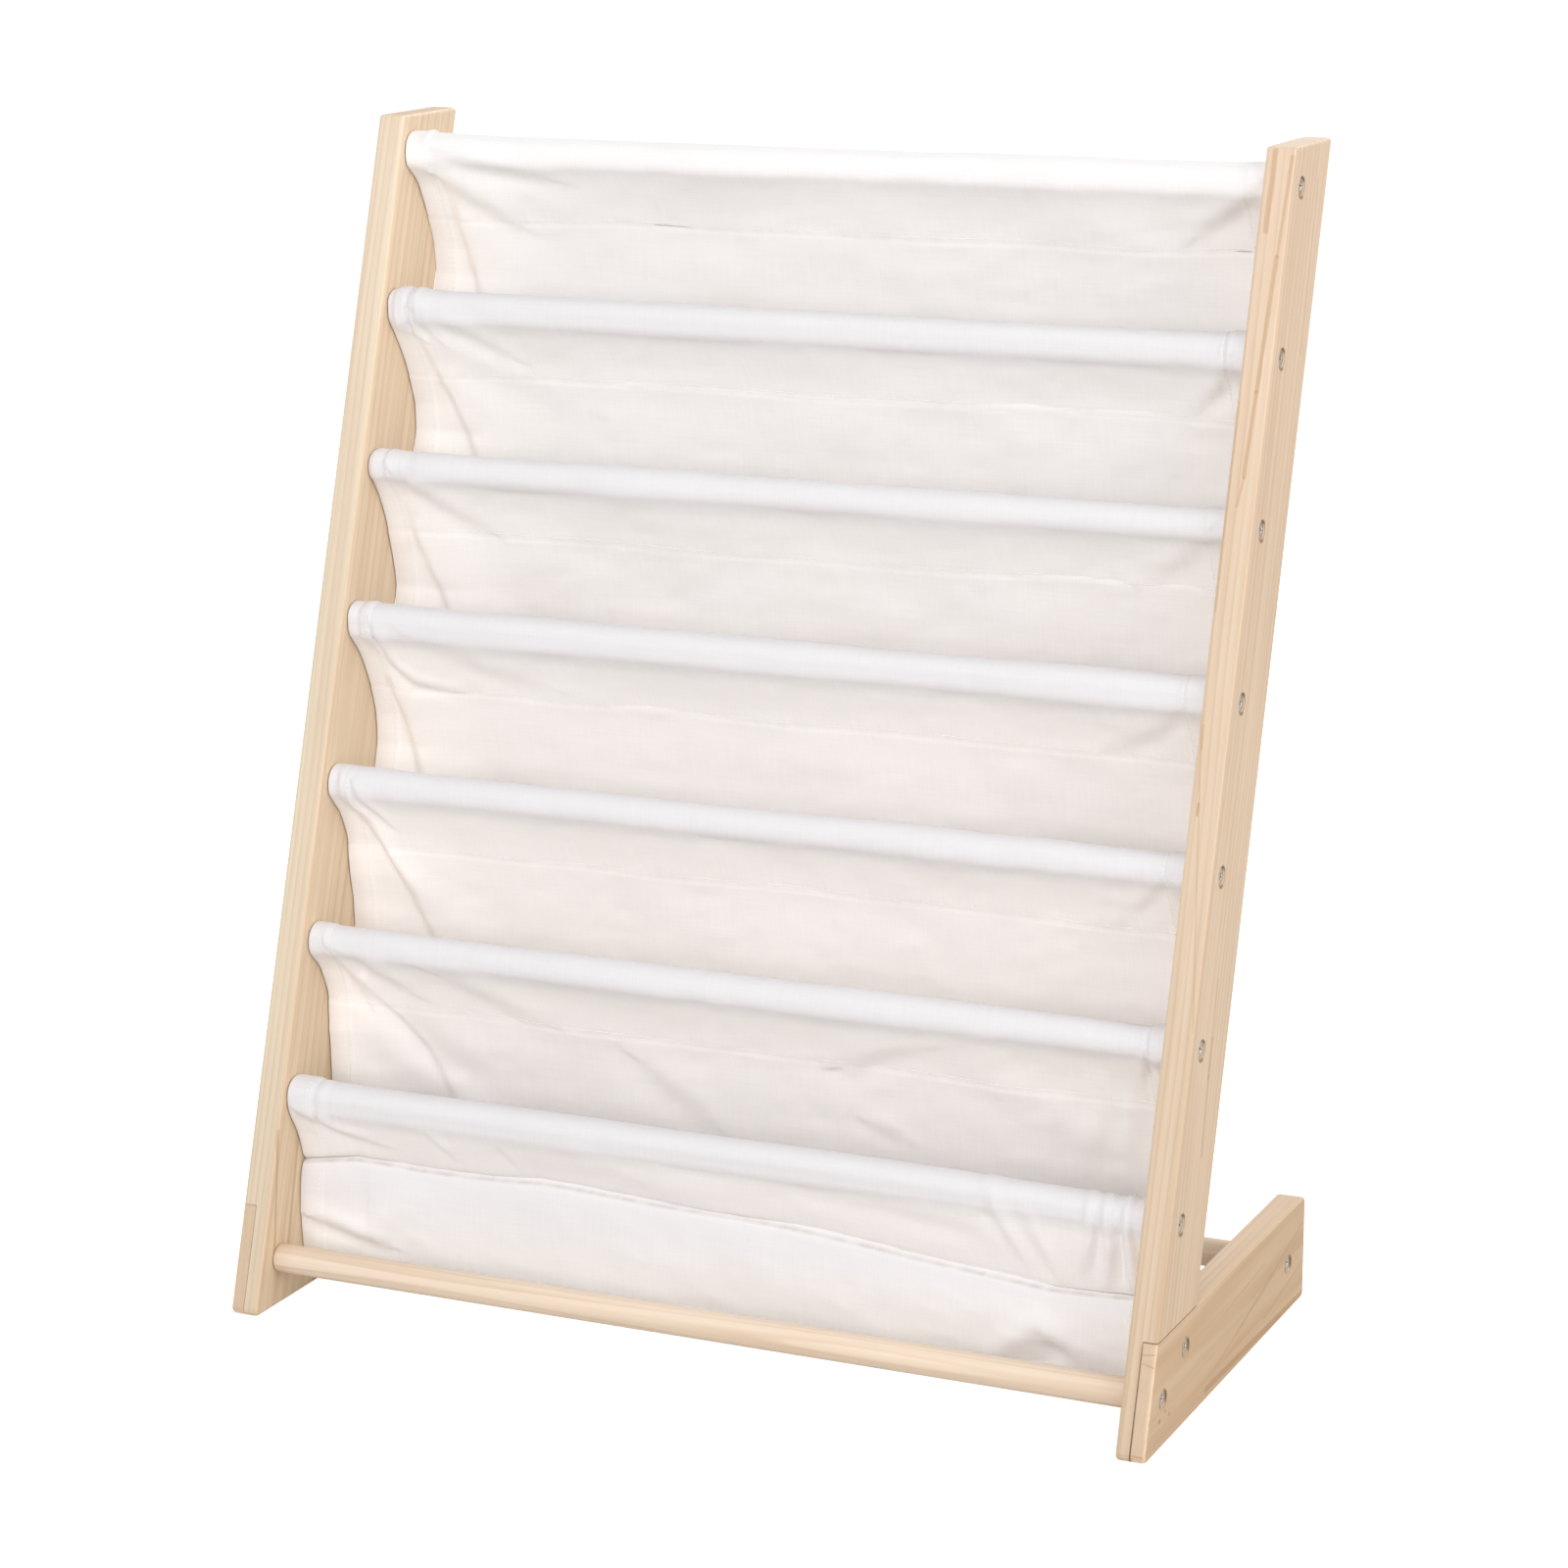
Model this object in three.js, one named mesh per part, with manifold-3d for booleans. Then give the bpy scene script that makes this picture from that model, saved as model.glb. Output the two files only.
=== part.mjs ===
// Sling bookshelf for a child's room: two leaning pine sides joined by dowels,
// and one canvas sling sewn into sleeves over the dowels, with six book pockets.
// Millimetres. +X to the right, +Y to the rear, +Z up. The origin is on the floor
// at the middle of the outline.

import * as THREE from 'three';
import { mergeVertices } from 'three/addons/utils/BufferGeometryUtils.js';
import Module from 'manifold-3d';

const wasm = await Module();
wasm.setup();

// Wooden sides
const overallWidth = 600;
const overallDepth = 300;
const overallHeight = 722;
const boardThickness = 18;
const uprightWidth = 66;
const uprightLean = THREE.MathUtils.degToRad(17.35);
const footRailHeight = 66;
const boardEdgeRadius = 2;
const topCornerEase = 0.3;
const footCornerEase = 1.8;
const jointGap = 0.3;
const cutOverrun = 5;

// Dowels: rises run up the upright's front edge from the floor, insets go square behind that edge
const slingDowelCount = 7;
const slingDowelDiameter = 18;
const railDowelDiameter = 18;
const lowestDowelRise = 137.5;
const topDowelDrop = 19;
const slingDowelInset = 18.3;
const frontRailRise = 37.9;
const frontRailInset = 21.2;
const rearStretcherRise = 32.4;
const rearStretcherInset = 33.5;

// Countersunk cross-head screws
const screwDiameter = 4;
const screwHeadDiameter = 10;
const screwLength = 45;
const screwPointLength = 4;
const lapScrewPointLength = 2;
const screwClearance = 0.3;
const screwHeadRecess = 0.6;
const countersinkClearance = 0.9;
const crossRecessWidth = 1.2;
const crossRecessSpan = 5.6;
const crossRecessDepth = 1.8;
const lapScrewRise = 47.4;
const lapScrewInset = 55.6;

// Canvas sling: drops run down and setbacks run back from the axis of the dowel above them
const canvasThickness = 0.9;
const canvasSideGap = 0.7;
const sleeveSlack = 0.4;
const seamGap = 0.3;
const seamDrop = 42;
const seamSetback = 16;
const frontSeamDrop = 40;
const frontSeamTilt = 17;
const frontSeamSetback = 9.5;
const pocketDrop = 112;
const pocketSag = 10;
const pocketSetback = 52;
const backPanelAngle = THREE.MathUtils.degToRad(24);
const backPanelReach = 45;
const backPanelFullness = 10;
const backPanelRise = 47;
const frontPanelClearance = 4;
const frontPanelSetback = 9.5;
const frontPanelBelly = 9.5;
const frontPanelReach = 22;
const frontPanelRise = 18;

// Soft diagonal fold that runs down from each end of every sleeve
const foldStart = 12;
const foldSlopeShare = 0.3;
const foldDepth = 3;

// Across the canvas: stations from one side edge to the other, as shares of the fold's distance
// from that edge, and how much of the fold's depth each one takes
const foldStationShares = [0, 0.55, 1, 1.8];
const foldDepthShares = [0, 0.3, 1, 0.25];

const roundSegments = 16;
const screwSegments = 14;
const cornerSegments = 3;
const edgeSegments = 3;
const sleeveArcSegments = 7;
const sleeveLegSegments = 2;
const backPanelSegments = 9;
const bottomSegments = 5;
const frontPanelSegments = 5;

// How far along the next pocket's back panel a front panel reaches, and how deep a curve sags
// as a share of its handles' length
const frontPanelShare = 0.42;
const curveSagShare = 0.75;

const pine = { color: 0xe2cba8, roughness: 0.62, metalness: 0 };
const endPine = { color: 0xdcc19a, roughness: 0.65, metalness: 0 };
const canvas = { color: 0xf3eeea, roughness: 0.92, metalness: 0 };
const steel = { color: 0xb9bbbd, roughness: 0.35, metalness: 0.9 };

// Values worked out from the sizes above
const innerFace = overallWidth / 2 - boardThickness;
const lapPlane = overallWidth / 2 - boardThickness / 2;
const leanRun = Math.tan(uprightLean);
const uprightRun = uprightWidth / Math.cos(uprightLean);
const uprightLength = overallHeight / Math.cos(uprightLean);
const dowelPitch = (uprightLength - topDowelDrop - lowestDowelRise) / (slingDowelCount - 1);
const dowelLength = 2 * (innerFace - jointGap);
const topCornerRadius = boardEdgeRadius + topCornerEase;
const footCornerRadius = boardEdgeRadius + footCornerEase;
const sleeveRadius = slingDowelDiameter / 2 + sleeveSlack + canvasThickness;
const canvasHalfWidth = innerFace - canvasSideGap;
const screwBoreRadius = screwDiameter / 2 + screwClearance;
const screwHeadDepth = (screwHeadDiameter - screwDiameter) / 2;
const lapGap = jointGap / 2;
const lapScrewLength = boardThickness - 2 * screwClearance - screwDiameter / 2;
const lapScrewBoreDepth = lapScrewLength + screwClearance;

// A place in the side view (y, z), from a rise along the upright's front edge and an inset
function onUpright(rise, inset) {
  const sine = Math.sin(uprightLean);
  const cosine = Math.cos(uprightLean);
  return new THREE.Vector2(rise * sine + inset * cosine, rise * cosine - inset * sine);
}

// Row 0 is the top dowel
function slingDowelAxis(row) {
  const rise = uprightLength - topDowelDrop - row * dowelPitch;
  return onUpright(rise, slingDowelInset);
}

const frontRailAxis = onUpright(frontRailRise, frontRailInset);
const rearStretcherAxis = new THREE.Vector2(overallDepth - rearStretcherInset, rearStretcherRise);
const lapScrewAxis = new THREE.Vector2(lapScrewRise * leanRun + lapScrewInset, lapScrewRise);

// Solids for cutting, from closed geometries

function toSolid(geometry) {
  const bare = geometry.clone();
  for (const name of Object.keys(bare.attributes)) {
    if (name !== 'position') bare.deleteAttribute(name);
  }
  const merged = mergeVertices(bare);
  return new wasm.Manifold(new wasm.Mesh({
    numProp: 3,
    vertProperties: new Float32Array(merged.attributes.position.array),
    triVerts: new Uint32Array(merged.index.array),
  }));
}

function toGeometry(solid) {
  const mesh = solid.getMesh();
  const geometry = new THREE.BufferGeometry();
  geometry.setAttribute('position', new THREE.BufferAttribute(mesh.vertProperties, 3));
  geometry.setIndex(new THREE.BufferAttribute(mesh.triVerts, 1));
  geometry.computeVertexNormals();
  return geometry;
}

// An outline in the side view (y, z), extruded along X between two planes
function sidePrism(outline, fromX, toX) {
  const geometry = new THREE.ExtrudeGeometry(new THREE.Shape(outline), {
    depth: toX - fromX,
    bevelEnabled: false,
  });
  return layOnSide(geometry, fromX);
}

function layOnSide(geometry, fromX) {
  const turn = new THREE.Matrix4().makeBasis(
    new THREE.Vector3(0, 1, 0),
    new THREE.Vector3(0, 0, 1),
    new THREE.Vector3(1, 0, 0),
  );
  geometry.applyMatrix4(turn);
  geometry.translate(fromX, 0, 0);
  return geometry;
}

// Corners with a radius become arcs, and those without stay sharp
function roundedOutline(corners) {
  const outline = [];
  corners.forEach((corner, index) => {
    if (corner.radius === 0) {
      outline.push(corner.at);
      return;
    }
    const before = corners[(index + corners.length - 1) % corners.length].at;
    const after = corners[(index + 1) % corners.length].at;
    const toBefore = before.clone().sub(corner.at).normalize();
    const toAfter = after.clone().sub(corner.at).normalize();
    const halfAngle = Math.acos(toBefore.dot(toAfter)) / 2;
    const middle = toBefore.clone().add(toAfter).normalize();
    const centre = corner.at.clone().addScaledVector(middle, corner.radius / Math.sin(halfAngle));
    const run = corner.radius / Math.tan(halfAngle);
    const start = corner.at.clone().addScaledVector(toBefore, run).sub(centre);
    const end = corner.at.clone().addScaledVector(toAfter, run).sub(centre);
    const sweep = Math.atan2(start.cross(end), start.dot(end));
    for (let step = 0; step <= cornerSegments; step += 1) {
      const spoke = start.clone().rotateAround(new THREE.Vector2(), sweep * step / cornerSegments);
      outline.push(spoke.add(centre));
    }
  });
  return outline;
}

// The upright and the foot rail of one side, rounded over together as when sanded after gluing
function wholeSide(fromX) {
  const corner = (y, z, radius) => ({ at: new THREE.Vector2(y, z), radius });
  const topFront = overallHeight * leanRun;
  const outline = roundedOutline([
    corner(0, 0, footCornerRadius),
    corner(overallDepth, 0, footCornerRadius),
    corner(overallDepth, footRailHeight, footCornerRadius),
    corner(uprightRun + footRailHeight * leanRun, footRailHeight, 0),
    corner(topFront + uprightRun, overallHeight, topCornerRadius),
    corner(topFront, overallHeight, topCornerRadius),
  ]);
  const geometry = new THREE.ExtrudeGeometry(new THREE.Shape(outline), {
    depth: boardThickness - 2 * boardEdgeRadius,
    bevelEnabled: true,
    bevelThickness: boardEdgeRadius,
    bevelSize: boardEdgeRadius,
    bevelOffset: -boardEdgeRadius,
    bevelSegments: edgeSegments,
  });
  return toSolid(layOnSide(geometry, fromX + boardEdgeRadius));
}

// The line of the upright's back face, moved back by an offset
function behindUpright(z, offset) {
  return new THREE.Vector2(uprightRun + z * leanRun + offset, z);
}

// Inner and outer halves of the half-lap, as planes across X for a side of the given sign
function lapRange(side, half, gap) {
  const near = half === 'inner' ? innerFace - cutOverrun : lapPlane - gap;
  const far = half === 'inner' ? lapPlane + gap : overallWidth / 2 + cutOverrun;
  return side > 0 ? [near, far] : [-far, -near];
}

function boardRange(side) {
  const near = innerFace - cutOverrun;
  const far = overallWidth / 2 + cutOverrun;
  return side > 0 ? [near, far] : [-far, -near];
}

function uprightSolid(side) {
  const behind = sidePrism([
    behindUpright(-cutOverrun, -lapGap),
    new THREE.Vector2(overallDepth + cutOverrun, -cutOverrun),
    new THREE.Vector2(overallDepth + cutOverrun, footRailHeight + cutOverrun),
    behindUpright(footRailHeight, -lapGap),
  ], ...boardRange(side));
  const outerFoot = sidePrism([
    new THREE.Vector2(-cutOverrun, -cutOverrun),
    new THREE.Vector2(overallDepth, -cutOverrun),
    new THREE.Vector2(overallDepth, footRailHeight + lapGap),
    new THREE.Vector2(-cutOverrun, footRailHeight + lapGap),
  ], ...lapRange(side, 'outer', lapGap));
  let solid = wholeSide(side > 0 ? innerFace : -overallWidth / 2);
  solid = solid.subtract(toSolid(behind)).subtract(toSolid(outerFoot));
  for (let row = 0; row < slingDowelCount; row += 1) {
    solid = solid.subtract(screwHole(side, slingDowelAxis(row)));
  }
  solid = solid.subtract(screwHole(side, frontRailAxis));
  return solid.subtract(screwHole(side, lapScrewAxis, lapScrewBoreDepth));
}

function footRailSolid(side) {
  const above = sidePrism([
    new THREE.Vector2(-cutOverrun, footRailHeight - lapGap),
    behindUpright(footRailHeight - lapGap, lapGap),
    behindUpright(overallHeight + cutOverrun, cutOverrun),
    new THREE.Vector2(-cutOverrun, overallHeight + cutOverrun),
  ], ...boardRange(side));
  const innerUpright = sidePrism([
    new THREE.Vector2(-cutOverrun, -cutOverrun),
    behindUpright(-cutOverrun, lapGap),
    behindUpright(footRailHeight + cutOverrun, lapGap),
    new THREE.Vector2(-cutOverrun, footRailHeight + cutOverrun),
  ], ...lapRange(side, 'inner', lapGap));
  let solid = wholeSide(side > 0 ? innerFace : -overallWidth / 2);
  solid = solid.subtract(toSolid(above)).subtract(toSolid(innerUpright));
  for (const axis of [frontRailAxis, rearStretcherAxis, lapScrewAxis]) {
    solid = solid.subtract(screwHole(side, axis));
  }
  return solid;
}

// A shape turned about its own Z axis, laid so that this axis points out of the given side
function pointOutward(geometry, side, axis) {
  geometry.rotateY(side * Math.PI / 2);
  geometry.translate(side * overallWidth / 2, axis.x, axis.y);
  return geometry;
}

// Clearance bore with its countersink, from the outer face inwards
function screwHole(side, axis, depth = boardThickness + cutOverrun) {
  const rim = screwHeadDiameter / 2 + countersinkClearance;
  const profile = [
    new THREE.Vector2(0, -depth),
    new THREE.Vector2(screwBoreRadius, -depth),
    new THREE.Vector2(screwBoreRadius, -screwHeadDepth - screwHeadRecess),
    new THREE.Vector2(rim, -screwHeadRecess),
    new THREE.Vector2(rim, cutOverrun),
    new THREE.Vector2(0, cutOverrun),
  ];
  const geometry = new THREE.LatheGeometry(profile, screwSegments);
  geometry.rotateX(Math.PI / 2);
  return toSolid(pointOutward(geometry, side, axis));
}

// A screw with its head's top at the origin and its shank down -Z
function screwGeometry(length, pointLength) {
  const shank = screwDiameter / 2;
  const profile = [
    new THREE.Vector2(0, -length),
    new THREE.Vector2(shank, -length + pointLength),
    new THREE.Vector2(shank, -screwHeadDepth - screwHeadRecess),
    new THREE.Vector2(screwHeadDiameter / 2, -screwHeadRecess),
    new THREE.Vector2(0, -screwHeadRecess),
  ];
  const body = new THREE.LatheGeometry(profile, screwSegments);
  body.rotateX(Math.PI / 2);
  let solid = toSolid(body);
  const slotHeight = 2 * (crossRecessDepth + screwHeadRecess);
  for (const [sizeX, sizeY] of [[crossRecessSpan, crossRecessWidth], [crossRecessWidth, crossRecessSpan]]) {
    solid = solid.subtract(toSolid(new THREE.BoxGeometry(sizeX, sizeY, slotHeight)));
  }
  return toGeometry(solid);
}

// Dowel along X with a pilot bore in each end for its screw
function dowelGeometry(diameter) {
  const half = dowelLength / 2;
  const boreEnd = innerFace + boardThickness - screwLength - screwClearance;
  const profile = [
    new THREE.Vector2(0, -boreEnd),
    new THREE.Vector2(screwBoreRadius, -boreEnd),
    new THREE.Vector2(screwBoreRadius, -half),
    new THREE.Vector2(diameter / 2, -half),
    new THREE.Vector2(diameter / 2, half),
    new THREE.Vector2(screwBoreRadius, half),
    new THREE.Vector2(screwBoreRadius, boreEnd),
    new THREE.Vector2(0, boreEnd),
  ];
  const geometry = new THREE.LatheGeometry(profile, roundSegments);
  geometry.rotateZ(-Math.PI / 2);
  return geometry;
}

// Canvas

// Seam under a dowel, where the sleeve closes. The lowest one is slightly out of level.
function seamPoint(row, widthShare) {
  const axis = slingDowelAxis(row);
  if (row < slingDowelCount - 1) {
    return new THREE.Vector2(axis.x + seamSetback, axis.y - seamDrop);
  }
  const drop = frontSeamDrop + frontSeamTilt * widthShare;
  return new THREE.Vector2(axis.x + frontSeamSetback, axis.y - drop);
}

// Stations across the canvas, each a distance from a side edge in units of the fold's own place
function stations() {
  const left = foldStationShares.map((reach, index) => ({
    side: -1, reach, depth: foldDepthShares[index],
  }));
  const right = left.map(({ reach, depth }) => ({ side: 1, reach, depth })).reverse();
  return [...left, { side: 0, reach: 0, depth: 0 }, ...right];
}

// Moves a side-view point to its station: its x follows the diagonal fold line, which it also deepens
function onStation(station, point, drop) {
  const hanging = Math.max(drop, 0);
  const x = station.side * (canvasHalfWidth - station.reach * (foldStart + foldSlopeShare * hanging));
  const ease = THREE.MathUtils.smoothstep(hanging, sleeveRadius, seamDrop);
  return new THREE.Vector3(x, point.x + foldDepth * station.depth * ease, point.y);
}

function widthShareAt(station) {
  return (1 + station.side) / 2;
}

// Outline of a taut sleeve: round the dowel, and straight down both legs to the seam
function sleeveOutline(row, widthShare, radius) {
  const axis = slingDowelAxis(row);
  const seam = seamPoint(row, widthShare).sub(axis);
  const seamAngle = Math.atan2(seam.y, seam.x);
  const wrap = Math.acos(sleeveRadius / seam.length());
  const tip = seam.clone().multiplyScalar(radius / sleeveRadius);
  const outline = [];
  const sweep = 2 * (Math.PI - wrap);
  for (let step = 0; step <= sleeveArcSegments; step += 1) {
    const angle = seamAngle + wrap + sweep * step / sleeveArcSegments;
    outline.push(new THREE.Vector2(radius * Math.cos(angle), radius * Math.sin(angle)));
  }
  const frontFoot = outline[outline.length - 1];
  const backFoot = outline[0];
  for (let step = 1; step <= sleeveLegSegments; step += 1) {
    outline.push(frontFoot.clone().lerp(tip, step / sleeveLegSegments));
  }
  for (let step = sleeveLegSegments - 1; step > 0; step -= 1) {
    outline.push(backFoot.clone().lerp(tip, step / sleeveLegSegments));
  }
  return outline.map((point) => point.add(axis));
}

function sleeveGeometry(row) {
  const axis = slingDowelAxis(row);
  const skins = [sleeveRadius, sleeveRadius - canvasThickness].map((radius) => (
    stations().map((station) => (
      sleeveOutline(row, widthShareAt(station), radius)
        .map((point) => onStation(station, point, axis.y - point.y))
    ))
  ));
  return skinnedGeometry(skins[0], skins[1], true);
}

// The next pocket's back panel, from its seam down to its pocket's bottom
function backPanelCurve(row, widthShare) {
  const start = seamPoint(row, widthShare);
  start.x -= (canvasThickness + seamGap) / 2;
  start.y -= canvasThickness / 2 + seamGap;
  const below = slingDowelAxis(row + 1);
  const end = new THREE.Vector2(below.x + pocketSetback, below.y - pocketDrop + pocketSag);
  const leave = new THREE.Vector2(Math.sin(backPanelAngle), -Math.cos(backPanelAngle));
  return new THREE.CubicBezierCurve(
    start,
    start.clone().addScaledVector(leave, backPanelReach),
    new THREE.Vector2(end.x + backPanelFullness, end.y + backPanelRise),
    end,
  );
}

// The lowest pocket's front panel hangs free behind the front rail
function looseFrontCurve(widthShare) {
  const row = slingDowelCount - 1;
  const axis = slingDowelAxis(row);
  const start = seamPoint(row, widthShare);
  start.y -= canvasThickness / 2 + seamGap;
  const end = new THREE.Vector2(axis.x + frontPanelSetback, axis.y - pocketDrop + pocketSag);
  return new THREE.CubicBezierCurve(
    start,
    new THREE.Vector2(start.x - frontPanelBelly, start.y - frontPanelReach),
    new THREE.Vector2(end.x - frontPanelBelly / 2, end.y + frontPanelRise),
    end,
  );
}

// A front panel's place: behind the next pocket's back panel, a little further at every step down
function frontPanelPoint(pocket, widthShare, share) {
  if (pocket === slingDowelCount - 2) return looseFrontCurve(widthShare).getPoint(share);
  const point = backPanelCurve(pocket + 1, widthShare).getPoint(share * frontPanelShare);
  point.x += canvasThickness + seamGap + frontPanelClearance * share;
  return point;
}

// One pocket in the side view: down its back panel, round its bottom, up its front panel.
// Each point comes with its drop below the dowel that its panel hangs from.
function pocketProfile(pocket, widthShare) {
  const back = backPanelCurve(pocket, widthShare);
  const backAxis = slingDowelAxis(pocket);
  const frontAxis = slingDowelAxis(pocket + 1);
  const profile = [];
  for (let step = 0; step <= backPanelSegments; step += 1) {
    const point = back.getPoint(step / backPanelSegments);
    profile.push({ point, drop: backAxis.y - point.y });
  }
  const backEnd = profile[profile.length - 1];
  const frontEnd = frontPanelPoint(pocket, widthShare, 1);
  const frontDrop = frontAxis.y - frontEnd.y;
  const handle = new THREE.Vector2(0, -pocketSag / curveSagShare);
  const bottom = new THREE.CubicBezierCurve(
    backEnd.point,
    backEnd.point.clone().add(handle),
    frontEnd.clone().add(handle),
    frontEnd,
  );
  for (let step = 1; step < bottomSegments; step += 1) {
    const share = step / bottomSegments;
    profile.push({
      point: bottom.getPoint(share),
      drop: THREE.MathUtils.lerp(backEnd.drop, frontDrop, share),
    });
  }
  for (let step = 0; step <= frontPanelSegments; step += 1) {
    const point = frontPanelPoint(pocket, widthShare, 1 - step / frontPanelSegments);
    profile.push({ point, drop: frontAxis.y - point.y });
  }
  return profile;
}

// Both skins of a sheet: its profile moved half the canvas to each side, square to itself
function offsetProfile(profile, distance) {
  return profile.map(({ point, drop }, index) => {
    const before = profile[Math.max(index - 1, 0)].point;
    const after = profile[Math.min(index + 1, profile.length - 1)].point;
    const along = after.clone().sub(before).normalize();
    const square = new THREE.Vector2(along.y, -along.x);
    return { point: point.clone().addScaledVector(square, distance), drop };
  });
}

function pocketGeometry(pocket) {
  const skins = [1, -1].map((sign) => stations().map((station) => {
    const profile = pocketProfile(pocket, widthShareAt(station));
    return offsetProfile(profile, sign * canvasThickness / 2)
      .map(({ point, drop }) => onStation(station, point, drop));
  }));
  return skinnedGeometry(skins[0], skins[1], false);
}

// A closed body between two skins of the same grid. A ring closes on itself along its profile.
function skinnedGeometry(outer, inner, ring) {
  const columns = outer.length;
  const count = outer[0].length;
  const positions = [...outer, ...inner].flatMap((line) => line.flatMap((at) => [at.x, at.y, at.z]));
  const outerAt = (column, index) => column * count + index % count;
  const innerAt = (column, index) => (columns + column) * count + index % count;
  const faces = [];
  const quad = (a, b, c, d) => faces.push(a, c, b, a, d, c);
  const steps = ring ? count : count - 1;
  for (let column = 0; column < columns - 1; column += 1) {
    for (let index = 0; index < steps; index += 1) {
      const next = index + 1;
      quad(outerAt(column, index), outerAt(column + 1, index),
        outerAt(column + 1, next), outerAt(column, next));
      quad(innerAt(column, index), innerAt(column, next),
        innerAt(column + 1, next), innerAt(column + 1, index));
    }
    if (!ring) {
      quad(outerAt(column, 0), innerAt(column, 0), innerAt(column + 1, 0), outerAt(column + 1, 0));
      quad(outerAt(column, steps), outerAt(column + 1, steps),
        innerAt(column + 1, steps), innerAt(column, steps));
    }
  }
  const last = columns - 1;
  for (let index = 0; index < steps; index += 1) {
    quad(outerAt(0, index), outerAt(0, index + 1), innerAt(0, index + 1), innerAt(0, index));
    quad(outerAt(last, index), innerAt(last, index), innerAt(last, index + 1), outerAt(last, index + 1));
  }
  const geometry = new THREE.BufferGeometry();
  geometry.setAttribute('position', new THREE.Float32BufferAttribute(positions, 3));
  geometry.setIndex(faces);
  geometry.computeVertexNormals();
  return geometry;
}

// Assembly

const shelf = new THREE.Group();

function addPiece(name, geometry, finish) {
  const mesh = new THREE.Mesh(geometry, new THREE.MeshStandardMaterial(finish));
  mesh.name = name;
  shelf.add(mesh);
  return mesh;
}

function addDowel(name, diameter, axis) {
  addPiece(name, dowelGeometry(diameter), pine).position.set(0, axis.x, axis.y);
}

// The cross recess of each screw stops at a turn of its own
const turnPerScrew = THREE.MathUtils.degToRad(37);
let driven = 0;

function addScrew(name, side, axis, length, pointLength) {
  const geometry = screwGeometry(length, pointLength);
  geometry.rotateZ(driven * turnPerScrew);
  driven += 1;
  addPiece(name, pointOutward(geometry, side, axis), steel);
}

for (const [label, side] of [['left', -1], ['right', 1]]) {
  addPiece(`${label}_upright`, toGeometry(uprightSolid(side)), pine);
  addPiece(`${label}_foot_rail`, toGeometry(footRailSolid(side)), endPine);
  for (let row = 0; row < slingDowelCount; row += 1) {
    addScrew(`${label}_sling_screw_${row + 1}`, side, slingDowelAxis(row), screwLength, screwPointLength);
  }
  addScrew(`${label}_front_rail_screw`, side, frontRailAxis, screwLength, screwPointLength);
  addScrew(`${label}_rear_screw`, side, rearStretcherAxis, screwLength, screwPointLength);
  addScrew(`${label}_lap_screw`, side, lapScrewAxis, lapScrewLength, lapScrewPointLength);
}

for (let row = 0; row < slingDowelCount; row += 1) {
  addDowel(`sling_dowel_${row + 1}`, slingDowelDiameter, slingDowelAxis(row));
  addPiece(`sling_sleeve_${row + 1}`, sleeveGeometry(row), canvas);
}
for (let pocket = 0; pocket < slingDowelCount - 1; pocket += 1) {
  addPiece(`sling_pocket_${pocket + 1}`, pocketGeometry(pocket), canvas);
}
addDowel('front_rail', railDowelDiameter, frontRailAxis);
addDowel('rear_stretcher', railDowelDiameter, rearStretcherAxis);

// The origin goes to the middle of the outline, on the floor
const bounds = new THREE.Box3().setFromObject(shelf);
const middle = bounds.getCenter(new THREE.Vector3());
shelf.position.set(-middle.x, -middle.y, -bounds.min.z);
shelf.updateMatrixWorld(true);

export default shelf;
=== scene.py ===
import math

import bpy
import numpy as np
from mathutils import Matrix, Vector


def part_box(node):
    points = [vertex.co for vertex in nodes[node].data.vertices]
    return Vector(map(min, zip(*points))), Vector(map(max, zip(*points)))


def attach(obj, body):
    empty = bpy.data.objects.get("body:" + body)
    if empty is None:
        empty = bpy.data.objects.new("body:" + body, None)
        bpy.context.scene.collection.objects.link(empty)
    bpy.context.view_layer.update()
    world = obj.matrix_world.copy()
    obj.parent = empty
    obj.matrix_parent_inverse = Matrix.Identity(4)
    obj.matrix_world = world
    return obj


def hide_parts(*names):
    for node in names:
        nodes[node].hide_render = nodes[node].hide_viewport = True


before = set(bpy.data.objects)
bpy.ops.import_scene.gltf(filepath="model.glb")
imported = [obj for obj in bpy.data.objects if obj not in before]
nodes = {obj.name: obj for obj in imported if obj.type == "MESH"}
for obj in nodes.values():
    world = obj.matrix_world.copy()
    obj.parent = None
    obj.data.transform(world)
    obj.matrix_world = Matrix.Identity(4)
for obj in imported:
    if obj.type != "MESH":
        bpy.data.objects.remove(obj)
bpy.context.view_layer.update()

MM = 0.001
SLING_ROWS = 7
LOWEST = SLING_ROWS - 1

# Camera, fitted to the boards' corners and the screw heads
CAMERA_PLACE = (1.03032, -2.27115, 0.94096)
CAMERA_FORWARD = (-0.39793649, 0.88647763, -0.23622862)
CAMERA_RIGHT = (0.91259207, 0.40886028, -0.00299794)
CAMERA_LENS = 97.199
CAMERA_SENSOR = 36.0

# Lights
WORLD_LEVEL = 0.50
WORLD_TONE = (0.965, 0.98, 1.0, 1.0)
LIGHTS = {
    "key_light": {"place": (0.1, -4.0, 1.35), "size": (3.0, 1.8), "watts": 52.0},
    "top_light": {"place": (0.2, -3.0, 2.7), "size": (2.6, 1.8), "watts": 49.0, "tone": (0.97, 0.98, 1.0)},
    "side_light": {"place": (3.0, -0.8, 1.9), "size": (2.2, 2.2), "watts": 40.0},
    "back_light": {"place": (-0.2, 2.4, 2.4), "size": (2.4, 2.4), "watts": 44.0},
}
LIGHT_TARGET = (0, 0, 0.35)
FLOOR_SIZE = 40.0
FLOOR_LIFT = 0.70

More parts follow.
